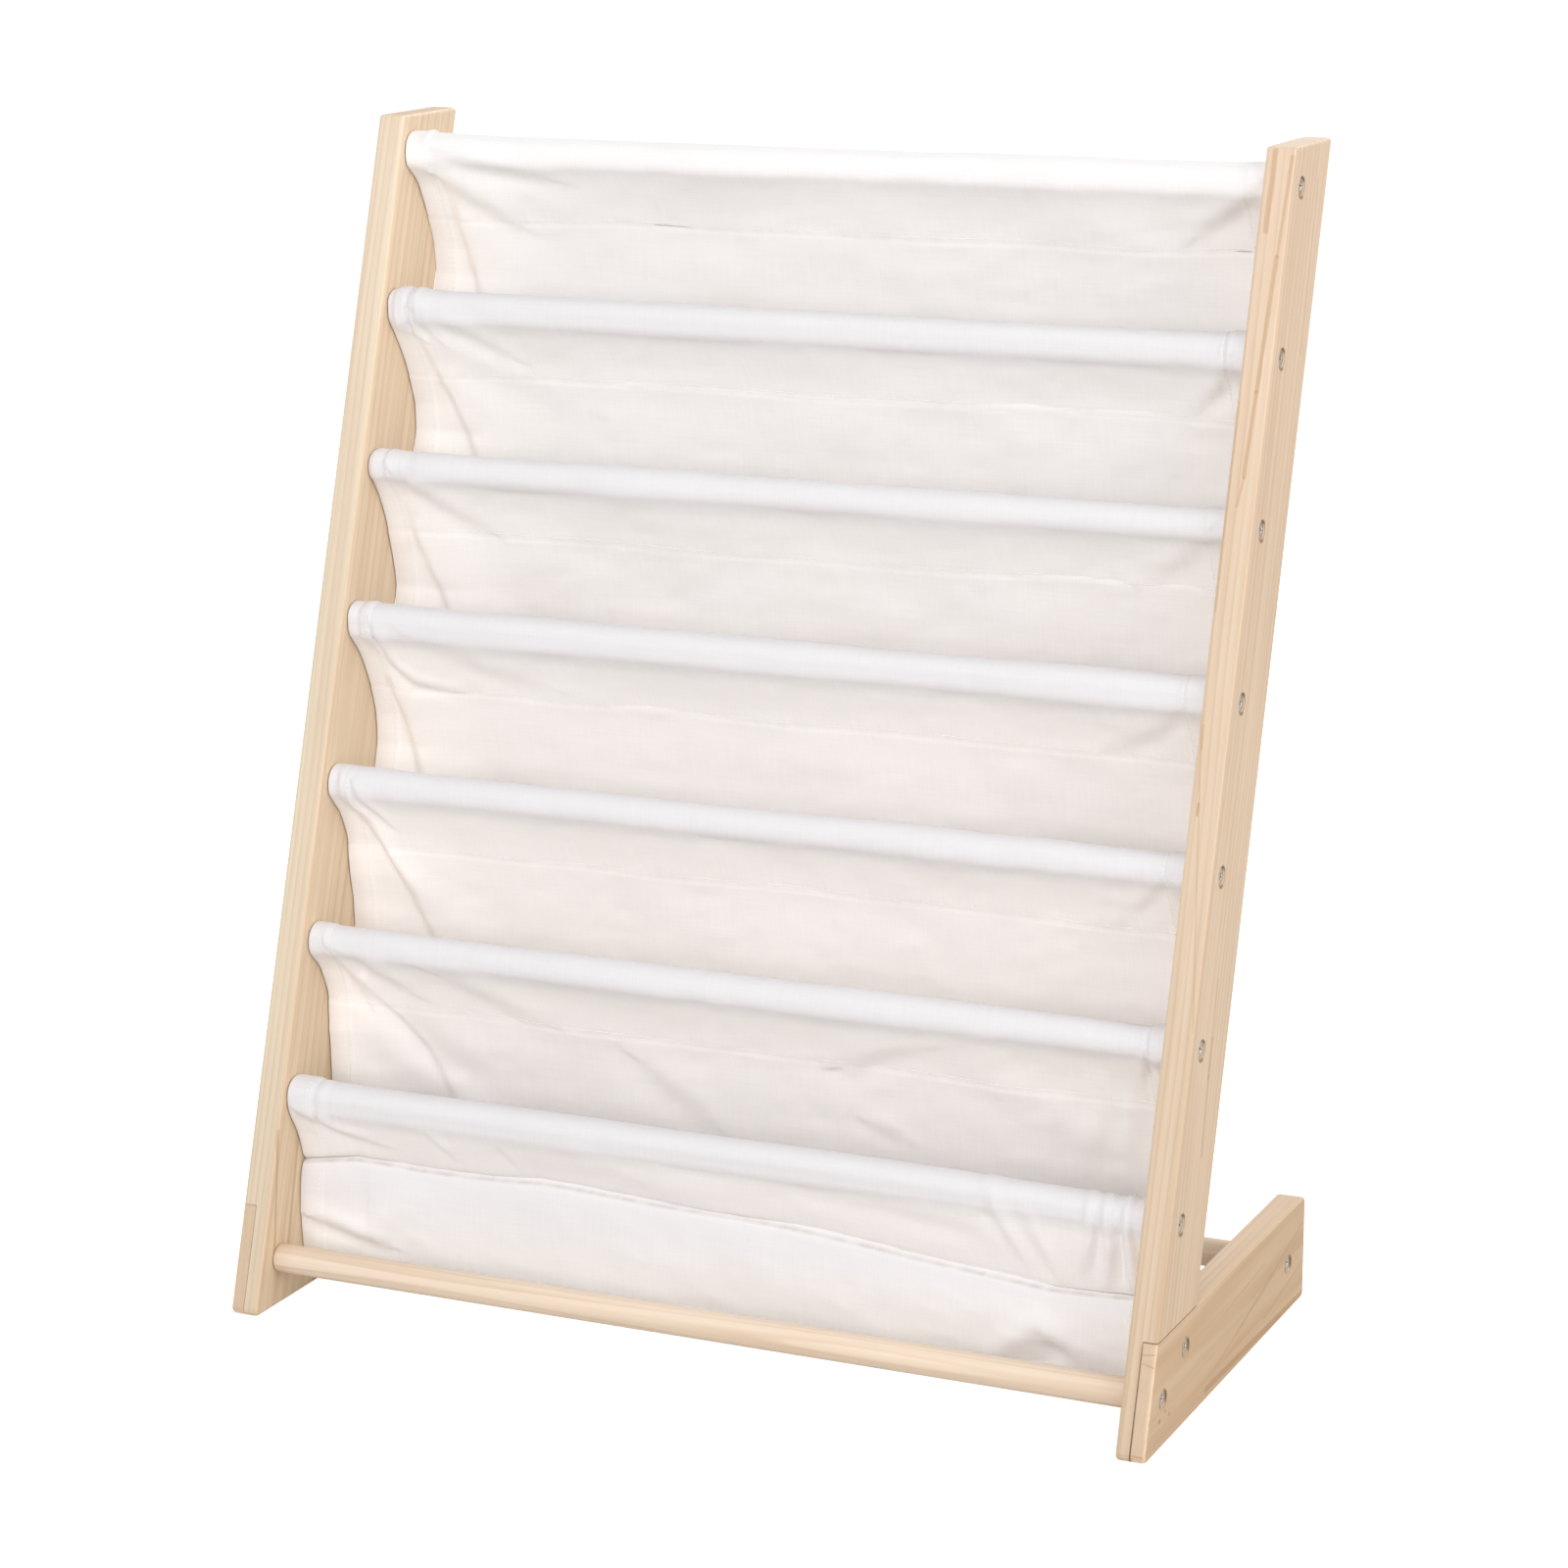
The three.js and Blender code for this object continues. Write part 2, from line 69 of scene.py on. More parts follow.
# Marks on the wood, in millimetres: a streak runs between two points with a width and a strength,
# and a knot has a middle and a size
RIGHT_UPRIGHT_STREAKS = [
    ((298.2, 73.1, 716.6), (295.8, 55.8, 661.2), 1.1, 0.50),
    ((295.8, 55.8, 661.2), (292.9, 32.4, 586.3), 1.3, 0.60),
    ((292.9, 32.4, 586.3), (291.2, 17.7, 539.2), 1.2, 0.60),
    ((291.2, 17.7, 539.2), (289.2, 12.6, 522.9), 0.9, 0.45),
    ((287.9, 74, 719.5), (287.2, 60, 675), 1.8, 0.55),
    ((283, 30, 580), (283.5, -5, 465), 1.2, 0.30),
    ((282.6, -23.4, 407.5), (299.3, -77.4, 234.9), 0.6, 0.35),
    ((284.5, -25.1, 402.3), (285, -29, 389), 0.5, 0.60),
    ((287, -38.4, 359.5), (286.8, -40.5, 353), 0.7, 0.80),
    ((300, -35.5, 255.6), (300, -43.9, 222.7), 1.2, 0.35),
    ((300, -43.9, 222.7), (300, -49.6, 200.7), 1.5, 0.60),
    ((300, -49.6, 200.7), (300, -59, 156.3), 1.3, 0.45),
    ((300, 118, 700), (300, 93, 600), 0.6, 0.40),
    ((300, 85, 560), (300, 55, 450), 0.5, 0.30),
]
LEFT_UPRIGHT_STREAKS = [
    ((-282, -127.8, 149.5), (-282, -148, 20), 1.2, 0.40),
    ((-282, -116, 111.6), (-282, -125.6, 32.4), 1.4, 0.50),
    ((-282, -83.5, 136.6), (-282, -108.8, 34.6), 1.6, 0.50),
    ((-282, -35, 190), (-282, -60, 100), 4, 0.30),
]
FOOT_STREAKS = [
    ((300, -42.4, 7), (300, 147.7, 2.9), 2.2, 0.60),
    ((300, -24.9, 14.8), (300, 86.9, 35.2), 0.8, 0.35),
    ((300, 13.3, 21.6), (300, 143.7, 49.7), 0.9, 0.40),
    ((300, 69.1, 12.7), (300, 178.4, 29.2), 0.8, 0.35),
    ((300, -8.5, 42.9), (300, 66.4, 48.5), 0.7, 0.30),
    ((293, -133.7, 54.7), (301.4, -134.3, 52.7), 0.5, 0.60),
    ((291.8, -132.2, 59.3), (299.9, -131.9, 60.5), 0.5, 0.60),
    ((292.9, -149.3, 4.8), (300.6, -149.4, 4.4), 0.5, 0.60),
]
FOOT_KNOTS = [
    ((300, -124.9, 17.6), 2.2),
    ((300, -114.9, 20.4), 1.8),
    ((300, -107.8, 16), 1.8),
]

# How far the painted shadow round each screw head reaches, and how far below the head's middle it is centred
RIM_REACH = 8.0 * MM
RIM_DROP = 0.6 * MM
LAP_LINE = 0.9 * MM

# Canvas, in millimetres
CANVAS_THICKNESS = 0.9
SLEEVE_SLACK = 0.4
DOWEL_CLEARANCE = 0.05
SEAM_GAP = 0.4
PANEL_GAP = 0.3
BACK_LEG_FOOT = 0.5, 0.2
SEAM_DROP = 42.0
SEAM_SETBACK = 16.0
FRONT_SEAM_SETBACK = 9.5
POCKET_DROP = 112.0
POCKET_SAG = 10.0
POCKET_SETBACK = 52.0
BACK_PANEL_ANGLE = math.radians(24)
BACK_PANEL_REACH = 45.0
BACK_PANEL_FULLNESS = 10.0
BACK_PANEL_RISE = 47.0
FRONT_PANEL_CLEARANCE = 4.0
FRONT_PANEL_SHARE = 0.42
FRONT_PANEL_SETBACK = 9.5
FRONT_PANEL_BELLY = 9.5
FRONT_PANEL_REACH = 22.0
FRONT_PANEL_RISE = 18.0
CURVE_SAG_SHARE = 0.75
HEM_WIDTH = 16.0
HEM_LIFT = 0.45
# Painted shade on the canvas, which also lets less light through it: its reach from each dowel and down each
# roll, its share on the top roll, its shares on the lowest row's band and front sheet, and where these fade
TOP_ROLL_SHADE = 0.35
ROLL_SHADE_GAP = 2.0, 14.0
ROLL_SHADE_FADE = -2.0, 20.0
BAND_SHADE = 0.25
FRONT_SHEET_SHADE = 0.9
FRONT_FADE = 45.0, 95.0
SEAM_FADE = -6.0, 8.0
BAND_BOWS = [1.9] * LOWEST + [0.0]
BAND_START = 5.8
SEAM_GROOVES = [0.15] + [0.2] * 5 + [0.9]
# How strong the painted shadow along each row's seam is, and under the lowest band's edge on the top of the
# pocket's front
SEAM_SHADES = [0.1] + [0.08] * 5 + [0.1]
SHEET_TOP_SHADE = 0.42
RING_GROOVE_START = 9.0
RING_GROOVE = 0.5
RING_FADE = 4, 22
CREASE_RISE = -6, 60
SEAM_GROOVE_WIDTH = 1.9
PUCKER = 0.35
PUCKER_WIDTH = 7.0
SEAM_WANDER = 0.9
SEAM_WAVE = 31.0
INNER_WEIGHT = 0.3
STITCH_PITCH = 3.3
STITCH_LENGTH = 2.5
STITCH_RADIUS = 0.24

# The lowest row's seam wanders: its drop below the dowel along the width
FRONT_SEAM_PLACES = [0, 36, 80, 112, 168, 212, 288, 340, 388, 428, 460, 500, 562]
FRONT_SEAM_DROPS = [41, 36, 37, 36, 34, 36, 38, 40, 43, 47, 50, 53, 50]

# Colours as a screen shows them
PINE_EARLY = (247, 222, 194)
PINE_LATE = (220, 184, 148)
# Each upright's wood tones, and the painted shade, with a cool cast, on its front and back faces
UPRIGHT_TONES_AND_SHADES = {
    "left": {"early": (242, 220, 192), "late": (217, 182, 146), "edge_shade": (236, 241, 247)},
    "right": {"early": (236, 212, 186), "late": (211, 175, 141), "edge_shade": (235, 236, 237)},
}
# Painted shade up the uprights: darker at the floor and none from 0.7 m up
RISE_SHADES = (242, 241, 236), (255, 255, 255)
# Painted shade on the foot rails' broad faces, and on their top and bottom
FOOT_FACE_SHADE = (223, 216, 203)
FOOT_TOP_SHADE = (223, 220, 214)
RAIL_TONES = {"early": (230, 211, 190), "late": (206, 176, 146)}
PINE_END = (184, 160, 134)
PINE_STREAK = (180, 143, 106)
PINE_KNOT = (140, 98, 60)
# The tone of the lap's dark joint line and of the painted shadow round the screw heads
PINE_JOINT_AND_SHADOW = (110, 78, 50)
CANVAS_PALE = (250, 247, 245)
CANVAS_WARM = (248, 243, 240)
# Painted warm light on the canvas, strongest about 0.2 m up
CANVAS_WARM_BOUNCE = (254, 248, 244)
# The tone of the painted shade on the rolls and the lowest pocket's front
CANVAS_PAINTED_SHADE = (225, 222, 223)
# The tone of the painted shadow along the seams, and how strong it is
CANVAS_SEAM_SHADOW = (150, 130, 110)
SEAM_SHADOW_STRENGTH = 0.9
WEAVE_SCALE = 220.0
SLUB_RUNS = (30.0, 900.0, 1.0), (900.0, 30.0, 1.0)
THREAD_TONE = (240, 236, 230)
STEEL_TONE = (216, 207, 194)
STAIN_TONE = (128, 124, 120)
# Painted shade in the screws' cross recesses
RECESS_SHADE_TONE = (62, 58, 54)
FLOOR_TONE = (224, 221, 218)


def linear(tone):
    """A screen colour of 0 to 255 as the linear colour that a shader takes."""
    shares = [value / 255 for value in tone]
    return tuple(s / 12.92 if s <= 0.04045 else ((s + 0.055) / 1.055) ** 2.4 for s in shares) + (1.0,)


# Shader trees

class Shader:
    """The node tree of a material or world: each call adds a node and gives its output."""

    def __init__(self, owner):
        owner.use_nodes = True
        self.owner = owner
        self.tree = owner.node_tree
        self.tree.nodes.clear()

    def add(self, kind, inputs=None, **settings):
        node = self.tree.nodes.new("ShaderNode" + kind)
        for key, value in settings.items():
            setattr(node, key, value)
        for key, value in (inputs or {}).items():
            if isinstance(value, bpy.types.NodeSocket):
                self.tree.links.new(value, node.inputs[key])
            else:
                node.inputs[key].default_value = value
        return node

    def math(self, operation, *values):
        return self.add("Math", dict(enumerate(values)), operation=operation).outputs[0]

    def times(self, first, second):
        return self.math("MULTIPLY", first, second)

    def absolute(self, value):
        return self.math("ABSOLUTE", value)

    def vector(self, operation, *values):
        return self.add("VectorMath", dict(enumerate(values)), operation=operation).outputs["Vector"]

    def scale(self, vector, factors):
        return self.vector("MULTIPLY", vector, factors)

    def dot(self, first, second):
        return self.add("VectorMath", {0: first, 1: second}, operation="DOT_PRODUCT").outputs["Value"]

    def length(self, vector):
        return self.add("VectorMath", {0: vector}, operation="LENGTH").outputs["Value"]

    def mix(self, share, first, second, blend="MIX"):
        colours = {0: share, 6: first, 7: second}
        return self.add("Mix", colours, data_type="RGBA", blend_type=blend).outputs[2]

    def tint(self, colour, level):
        return self.mix(1.0, colour, level, "MULTIPLY")

    def mark(self, colour, mask, strength, tone):
        """The colour with another tone laid over it where the mask is 1."""
        return self.mix(self.times(mask, strength), colour, linear(tone))

    def noise(self, place, scale, detail=2.0, roughness=0.5):
        inputs = {"Vector": place, "Scale": scale, "Detail": detail, "Roughness": roughness}
        return self.add("TexNoise", inputs).outputs["Fac"]

    def ramp(self, value, *stops):
        node = self.add("ValToRGB", {"Fac": value})
        elements = node.color_ramp.elements
        while len(elements) < len(stops):
            elements.new(0.5)
        for element, (place, level) in zip(elements, stops):
            element.position = place
            element.color = (level, level, level, 1.0) if isinstance(level, (int, float)) else level
        return node.outputs["Color"]

    def place(self):
        """The point in the part's own axes, in metres."""
        return self.add("TexCoord").outputs["Object"]

    def normal(self):
        return self.add("TexCoord").outputs["Normal"]

    def axes(self, vector):
        return self.add("SeparateXYZ", {0: vector}).outputs

    def named_value(self, name):
        """The value that the mesh's points carry under a name."""
        return self.add("Attribute", attribute_name=name).outputs["Fac"]

    def surface(self, colour, rough, relief, depth, inputs):
        """A principled shader whose relief has a strength and a depth in metres, and the relief's normal."""
        bump = self.add("Bump", {"Strength": depth[0], "Distance": depth[1], "Height": relief}).outputs[0]
        inputs = {"Base Color": colour, "Roughness": rough, "Normal": bump, **inputs}
        return self.add("BsdfPrincipled", inputs).outputs[0], bump

    def blend(self, share, first, second):
        return self.add("MixShader", {0: share, 1: first, 2: second}).outputs[0]

    def finish(self, shader, kind="Material"):
        self.add("Output" + kind, {"Surface": shader})
        return self.owner


def new_shader(name):
    return Shader(bpy.data.materials.new(name))


# Pine

RING_WARP = (0.022, 0.022, 0.0)
LATE_WOOD = 0.58
DARK_FIBRES = 0.38
END_GRAIN = 0.75
KNOT_STRENGTH = 0.6
RIM_SHADOW_STRENGTH = 0.72
LAP_STRENGTH = 0.7


def board_space(m, along, across, offset):
    """The point in the board's own axes: across, through and along the grain, in metres."""
    along, across = Vector(along).normalized(), Vector(across)
    across = (across - along * across.dot(along)).normalized()
    axes = zip("XYZ", (across, along.cross(across), along))
    joined = m.add("CombineXYZ", {name: m.dot(m.place(), tuple(axis)) for name, axis in axes})
    return m.vector("ADD", joined.outputs[0], offset), along


def knot_mask(m, centre, size):
    """1 at a point of the object and 0 past a distance from it."""
    gap = m.vector("SUBTRACT", m.place(), tuple(Vector(centre) * MM))
    return m.ramp(m.length(m.vector("DIVIDE", gap, [size * MM] * 3)), (0.35, 1.0), (1.0, 0.0))


def streak_mask(m, start, end, width):
    """1 on a line between two points of the object and 0 past its width, with torn edges."""
    start, end, width = Vector(start) * MM, Vector(end) * MM, width * MM
    run = end - start
    gap = m.vector("SUBTRACT", m.place(), tuple(start))
    along = m.dot(gap, tuple(run / run.length_squared))
    held = m.math("MINIMUM", m.math("MAXIMUM", along, 0.0), 1.0)
    point = m.add("VectorMath", {0: tuple(run), "Scale": held}, operation="SCALE").outputs[0]
    distance = m.length(m.vector("SUBTRACT", gap, point))
    torn = m.noise(m.scale(m.place(), (1.0, 0.35, 0.35)), 260.0)
    reach = m.math("DIVIDE", distance, m.math("MULTIPLY_ADD", torn, width, width * 0.8))
    return m.ramp(reach, (0.45, 1.0), (1.0, 0.0))


def rim_shadow_mask(m, centre, grain):
    """Painted shadow in the countersink's rim, above and below a screw's head."""
    gap = m.vector("SUBTRACT", m.place(), centre)
    distance = m.length(gap)
    ring = m.ramp(m.math("DIVIDE", distance, RIM_REACH), (0.60, 0.0), (0.68, 1.0), (0.78, 1.0), (0.92, 0.0))
    lengthwise = m.absolute(m.dot(gap, tuple(grain)))
    return m.times(ring, m.ramp(m.math("DIVIDE", lengthwise, distance), (0.60, 0.12), (0.88, 1.0)))


def lap_mask(m, plane, height, with_top):
    """The open line of the half-lap: its upright plane and, if asked for, its top edge."""
    x, _, z = m.axes(m.place())
    out = m.math("SUBTRACT", m.absolute(x), plane)
    low = m.ramp(m.math("DIVIDE", z, height), (0.0, 1.0), (0.35, 0.75), (0.95, 0.55), (1.0, 0.0))
    upright_line = m.ramp(m.math("DIVIDE", m.absolute(out), LAP_LINE), (0.5, 1.0), (1.0, 0.0))
    low_line = m.times(upright_line, low)
    if not with_top:
        return low_line
    rise = m.absolute(m.math("SUBTRACT", z, height))
    level_line = m.ramp(m.math("DIVIDE", rise, LAP_LINE), (0.55, 1.0), (1.0, 0.0))
    outer_half = m.ramp(m.math("DIVIDE", out, LAP_LINE), (0.0, 0.0), (0.3, 1.0))
    return m.math("MAXIMUM", low_line, m.times(level_line, outer_half))


def pine_rings(m, place, slow, pith, ring):
    """0 in early wood and 1 in late wood, on rings of one width round a wavering pith."""
    warp = m.add("TexNoise", {"Vector": slow, "Scale": 9.0, "Detail": 2.0}).outputs["Color"]
    shift = m.scale(m.vector("SUBTRACT", warp, (0.5, 0.5, 0.5)), RING_WARP)
    flat = m.scale(m.vector("ADD", place, shift), (1.0, 1.0, 0.02))
    radius = m.length(m.vector("SUBTRACT", flat, (*pith, 0.0)))
    phase = m.math("FRACT", m.math("DIVIDE", radius, ring))
    return m.ramp(phase, (0.0, 0.05), (0.55, 0.28), (0.86, 1.0), (0.95, 0.75), (1.0, 0.05))


def pine_figure(m, place, pith, ring, early, late):
    """The bare wood's colour, its rings and its fine fibres."""
    slow = m.scale(place, (1.0, 1.0, 0.16))
    rings = pine_rings(m, place, slow, pith, ring)
    strength = m.ramp(m.noise(slow, 38.0), (0.3, 0.25), (0.7, 1.0))
    fibre_place = m.scale(place, (1.0, 1.0, 0.022))
    fibre = m.noise(fibre_place, 620.0, 3.0, 0.6)
    bundles = m.ramp(m.noise(fibre_place, 120.0), (0.42, 0.0), (0.72, 1.0))
    tone = m.noise(m.scale(place, (1.0, 1.0, 0.3)), 14.0, 1.0)
    colour = m.mark(linear(early), m.times(rings, strength), LATE_WOOD, late)
    colour = m.mark(colour, bundles, DARK_FIBRES, late)
    colour = m.tint(colour, m.ramp(fibre, (0.25, 0.955), (0.75, 1.02)))
    return m.tint(colour, m.ramp(tone, (0.3, 0.965), (0.7, 1.02))), rings, fibre


def board_tones(m, colour, grain, across, rise_shade, face_shade, edge_shade):
    """The colour with end grain, and with painted shade: darker lower down, and different on the faces that
    turn each way.
    """
    end = m.ramp(m.absolute(m.dot(m.normal(), tuple(grain))), (0.75, 0.0), (0.95, 1.0))
    colour = m.mix(end, colour, m.mix(END_GRAIN, colour, linear(PINE_END)))
    # Painted shade, darker lower down
    if rise_shade:
        low, high = rise_shade
        colour = m.tint(colour, m.ramp(m.axes(m.place())[2], (0.0, linear(low)), (0.7, linear(high))))
    through = grain.cross(Vector(across)).normalized()
    # Painted shade that differs on the broad faces and on the narrow ones
    for side, tone in ((across, face_shade), (tuple(through), edge_shade)):
        if tone:
            share = m.ramp(m.absolute(m.dot(m.normal(), side)), (0.6, 0.0), (0.9, 1.0))
            colour = m.mix(share, colour, linear(tone), "MULTIPLY")
    return colour


def pine_material(name, along, across, offset, pith, ring, early=PINE_EARLY, late=PINE_LATE,
                  edge_shade=None, rise_shade=None, face_shade=None, knots=(), streaks=(), screws=(), lap=None):
    m = new_shader(name)
    place, grain = board_space(m, along, across, offset)
    colour, rings, fibre = pine_figure(m, place, pith, ring, early, late)
    colour = board_tones(m, colour, grain, across, rise_shade, face_shade, edge_shade)
    for start, end, width, strength in streaks:
        colour = m.mark(colour, streak_mask(m, start, end, width), strength, PINE_STREAK)
    for knot, size in knots:
        colour = m.mark(colour, knot_mask(m, knot, size), KNOT_STRENGTH, PINE_KNOT)
    # Painted shadow at the rim above and below each screw head
    for centre in screws:
        colour = m.mark(colour, rim_shadow_mask(m, centre, grain), RIM_SHADOW_STRENGTH, PINE_JOINT_AND_SHADOW)
    if lap:
        colour = m.mark(colour, lap_mask(m, *lap), LAP_STRENGTH, PINE_JOINT_AND_SHADOW)
    relief = m.math("ADD", m.times(rings, 0.5), fibre)
    rough = m.math("MULTIPLY_ADD", fibre, 0.16, 0.46)
    shader, _ = m.surface(colour, rough, relief, (0.25, 0.0002), {"Specular IOR Level": 0.32})
    return m.finish(shader)


# Steel, canvas and thread

def steel_material():
    m = new_shader("screw_steel")
    scratches = m.noise(m.scale(m.place(), (1.0, 6.0, 1.0)), 900.0, 3.0, 0.6)
    stains = m.noise(m.place(), 160.0)
    colour = m.tint(linear(STEEL_TONE), m.ramp(scratches, (0.3, 0.82), (0.7, 1.05)))
    colour = m.mark(colour, stains, 0.3, STAIN_TONE)
    # Painted shade in the cross recess
    colour = m.mix(m.named_value("recess"), colour, linear(RECESS_SHADE_TONE))
    rough = m.math("MULTIPLY_ADD", stains, 0.25, 0.26)
    shader, _ = m.surface(colour, rough, scratches, (0.2, 0.00006), {"Metallic": 1.0})
    return m.finish(shader)


def canvas_colour(m, shade_and_backing, slubs):
    patches = m.ramp(m.noise(m.place(), 7.0, 3.0, 0.6), (0.35, 0.0), (0.7, 1.0))
    # Painted light: the canvas a little brighter and warmer low down, most about 0.2 m up
    low = m.ramp(m.axes(m.place())[2], (0.06, 0.1), (0.2, 1.0), (0.55, 0.0))
    colour = m.mix(patches, linear(CANVAS_PALE), linear(CANVAS_WARM))
    colour = m.mix(low, colour, linear(CANVAS_WARM_BOUNCE))
    # Painted shade on the rolls and the lowest pocket's front
    colour = m.mix(shade_and_backing, colour, linear(CANVAS_PAINTED_SHADE))
    # Painted shadow along the seams' lines
    colour = m.mark(colour, m.named_value("seam"), SEAM_SHADOW_STRENGTH, CANVAS_SEAM_SHADOW)
    return m.tint(colour, m.ramp(slubs, (0.3, 0.965), (0.7, 1.015)))


def canvas_material():
    m = new_shader("cotton_canvas")
    flat = m.add("UVMap", uv_map="cloth").outputs[0]
    shade_and_backing = m.named_value("shade_and_backing")
    threads = [m.noise(m.scale(flat, run), 1.0, 2.0, 0.6) for run in SLUB_RUNS]
    slubs = m.times(m.math("ADD", *threads), 0.5)
    wave = {"Vector": flat, "Scale": WEAVE_SCALE, "Distortion": 0.4, "Detail": 1.0, "Detail Scale": 2.0}
    waves = [m.add("TexWave", wave, bands_direction=axis).outputs["Fac"] for axis in "XY"]
    relief = m.math("ADD", m.times(m.math("MAXIMUM", *waves), 0.5), slubs)
    colour = canvas_colour(m, shade_and_backing, slubs)
    shader, bump = m.surface(colour, 0.88, relief, (0.35, 0.00018), {
        "Specular IOR Level": 0.2, "Sheen Weight": 0.12, "Sheen Roughness": 0.5})
    through = m.add("BsdfTranslucent", {"Color": colour, "Normal": bump}).outputs[0]
    return m.finish(m.blend(m.math("MULTIPLY_ADD", shade_and_backing, -0.04, 0.08), shader, through))


def thread_material():
    m = new_shader("sewing_thread")
    twist = m.noise(m.place(), 2200.0, 1.0)
    colour = m.tint(linear(THREAD_TONE), m.ramp(twist, (0.3, 0.9), (0.7, 1.03)))
    shader, _ = m.surface(colour, 0.7, twist, (0.4, 0.00008), {"Sheen Weight": 0.2})
    return m.finish(shader)


# Meshes from arrays

def grid_faces(rows, columns, ring=False):
    """Quads of a grid of points, row by row. A ring joins its last column to its first."""
    row, column = np.meshgrid(np.arange(rows - 1), np.arange(columns if ring else columns - 1), indexing="ij")
    after = (column + 1) % columns
    quads = np.stack([row * columns + column, row * columns + after,
                      (row + 1) * columns + after, (row + 1) * columns + column], axis=-1)
    return quads.reshape(-1, 4)


def mesh_object(name, points, faces, material, smooth=True):
    mesh = bpy.data.meshes.new(name)
    mesh.from_pydata(np.asarray(points, float).tolist(), [], np.asarray(faces).tolist())
    mesh.validate()
    mesh.polygons.foreach_set("use_smooth", [smooth] * len(mesh.polygons))
    mesh.materials.append(material)
    item = bpy.data.objects.new(name, mesh)
    bpy.context.scene.collection.objects.link(item)
    return item


def point_values(mesh, name, values):
    """Give each point of the mesh a value that its material reads by name."""
    layer = mesh.attributes.new(name=name, type="FLOAT", domain="POINT")
    layer.data.foreach_set("value", np.asarray(values, np.float32).ravel())


def lathe(profile, segments, start):
    """Rings of a profile of (distance along, radius) about the X axis, as points."""
    turn = np.linspace(0, 2 * math.pi, segments, endpoint=False)
    circle = np.column_stack([np.zeros(segments), np.cos(turn), np.sin(turn)])
    return np.concatenate([start + circle * radius + (along, 0, 0) for along, radius in profile])


# Dowels

DOWEL_CHAMFER = 0.0006
AXIS_RADIUS = 0.0001


def dowel_piece(node, material, segments=96):
    """A round rod in place of the node's faceted one, of the same length and diameter."""
    low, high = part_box(node)
    length = high.x - low.x
    radius = (high.z - low.z) / 2
    end_radius = radius - DOWEL_CHAMFER
    stations = np.linspace(DOWEL_CHAMFER, length - DOWEL_CHAMFER, 40)
    profile = [(0.0, AXIS_RADIUS), (0.0, end_radius)]
    profile += [(along, radius) for along in stations]
    profile += [(length, end_radius), (length, AXIS_RADIUS)]
    points = lathe(profile, segments, (low.x, (low.y + high.y) / 2, (low.z + high.z) / 2))
    item = mesh_object(node + "_round", points, grid_faces(len(profile), segments, True)[:, ::-1], material)
    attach(item, "root")
    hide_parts(node)


# The sling's shape in the side view, in millimetres from the row's dowel axis: back, then up

def dowel_axis(row):
    low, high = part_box(f"sling_dowel_{row + 1}")
    return (low.y + high.y) / 2, (low.z + high.z) / 2


DOWEL_AXES = np.array([dowel_axis(row) for row in range(SLING_ROWS)]) / MM
DOWEL_RADIUS = (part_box("sling_dowel_1")[1].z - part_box("sling_dowel_1")[0].z) / 2 / MM
SLEEVE_RADIUS = DOWEL_RADIUS + SLEEVE_SLACK + CANVAS_THICKNESS / 2
HALF_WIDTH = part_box("sling_pocket_1")[1].x / MM
CANVAS_WIDTH = 2 * HALF_WIDTH


def seam_point(row, across):
    """The seam under a row's sleeve, which wanders a little along its width."""
    wander = math.sin(across / SEAM_WAVE + 1.7 * row) * math.sin(across / (2.3 * SEAM_WAVE) + row)
    drop, setback = SEAM_DROP, SEAM_SETBACK
    if row == LOWEST:
        drop = np.interp(across, FRONT_SEAM_PLACES, FRONT_SEAM_DROPS)
        setback = FRONT_SEAM_SETBACK
    return DOWEL_AXES[row] + (setback, -drop - SEAM_WANDER * wander)


def cubic(points, shares):
    t = np.asarray(shares, float)[:, None]
    a, b, c, d = points
    return (1 - t) ** 3 * a + 3 * (1 - t) ** 2 * t * b + 3 * (1 - t) * t * t * c + t ** 3 * d


def back_panel(row, across):
    """The curve of a pocket's back, from the seam down to the pocket's bottom."""
    start = seam_point(row, across) + (-SEAM_GAP / 2, -SEAM_GAP)
    end = DOWEL_AXES[row + 1] + (POCKET_SETBACK, POCKET_SAG - POCKET_DROP)
    leave = np.array([math.sin(BACK_PANEL_ANGLE), -math.cos(BACK_PANEL_ANGLE)])
    return start, start + BACK_PANEL_REACH * leave, end + (BACK_PANEL_FULLNESS, BACK_PANEL_RISE), end


def loose_front(across):
    """The curve of the lowest pocket's front, which hangs from the lowest seam."""
    start = seam_point(LOWEST, across) + (0, -SEAM_GAP)
    end = DOWEL_AXES[LOWEST] + (FRONT_PANEL_SETBACK, POCKET_SAG - POCKET_DROP)
    return (start, start - (FRONT_PANEL_BELLY, FRONT_PANEL_REACH),
            end + (-FRONT_PANEL_BELLY / 2, FRONT_PANEL_RISE), end)


def front_panel(pocket, across, shares):
    if pocket == LOWEST - 1:
        return cubic(loose_front(across), shares)
    points = cubic(back_panel(pocket + 1, across), shares * FRONT_PANEL_SHARE)
    points[:, 0] += CANVAS_THICKNESS + PANEL_GAP + FRONT_PANEL_CLEARANCE * shares
    return points


# Counts of points along each part of the strip
BACK_LEG_STEPS = 12
ROLL_STEPS = 22
FRONT_LEG_STEPS = 24
SHOWN_PANEL_STEPS = 34
HIDDEN_PANEL_STEPS = 14
BOTTOM_STEPS = 12
FRONT_PANEL_STEPS = 18
LOOSE_PANEL_STEPS = 40
SHOWN_PANEL_SHARE = 0.46


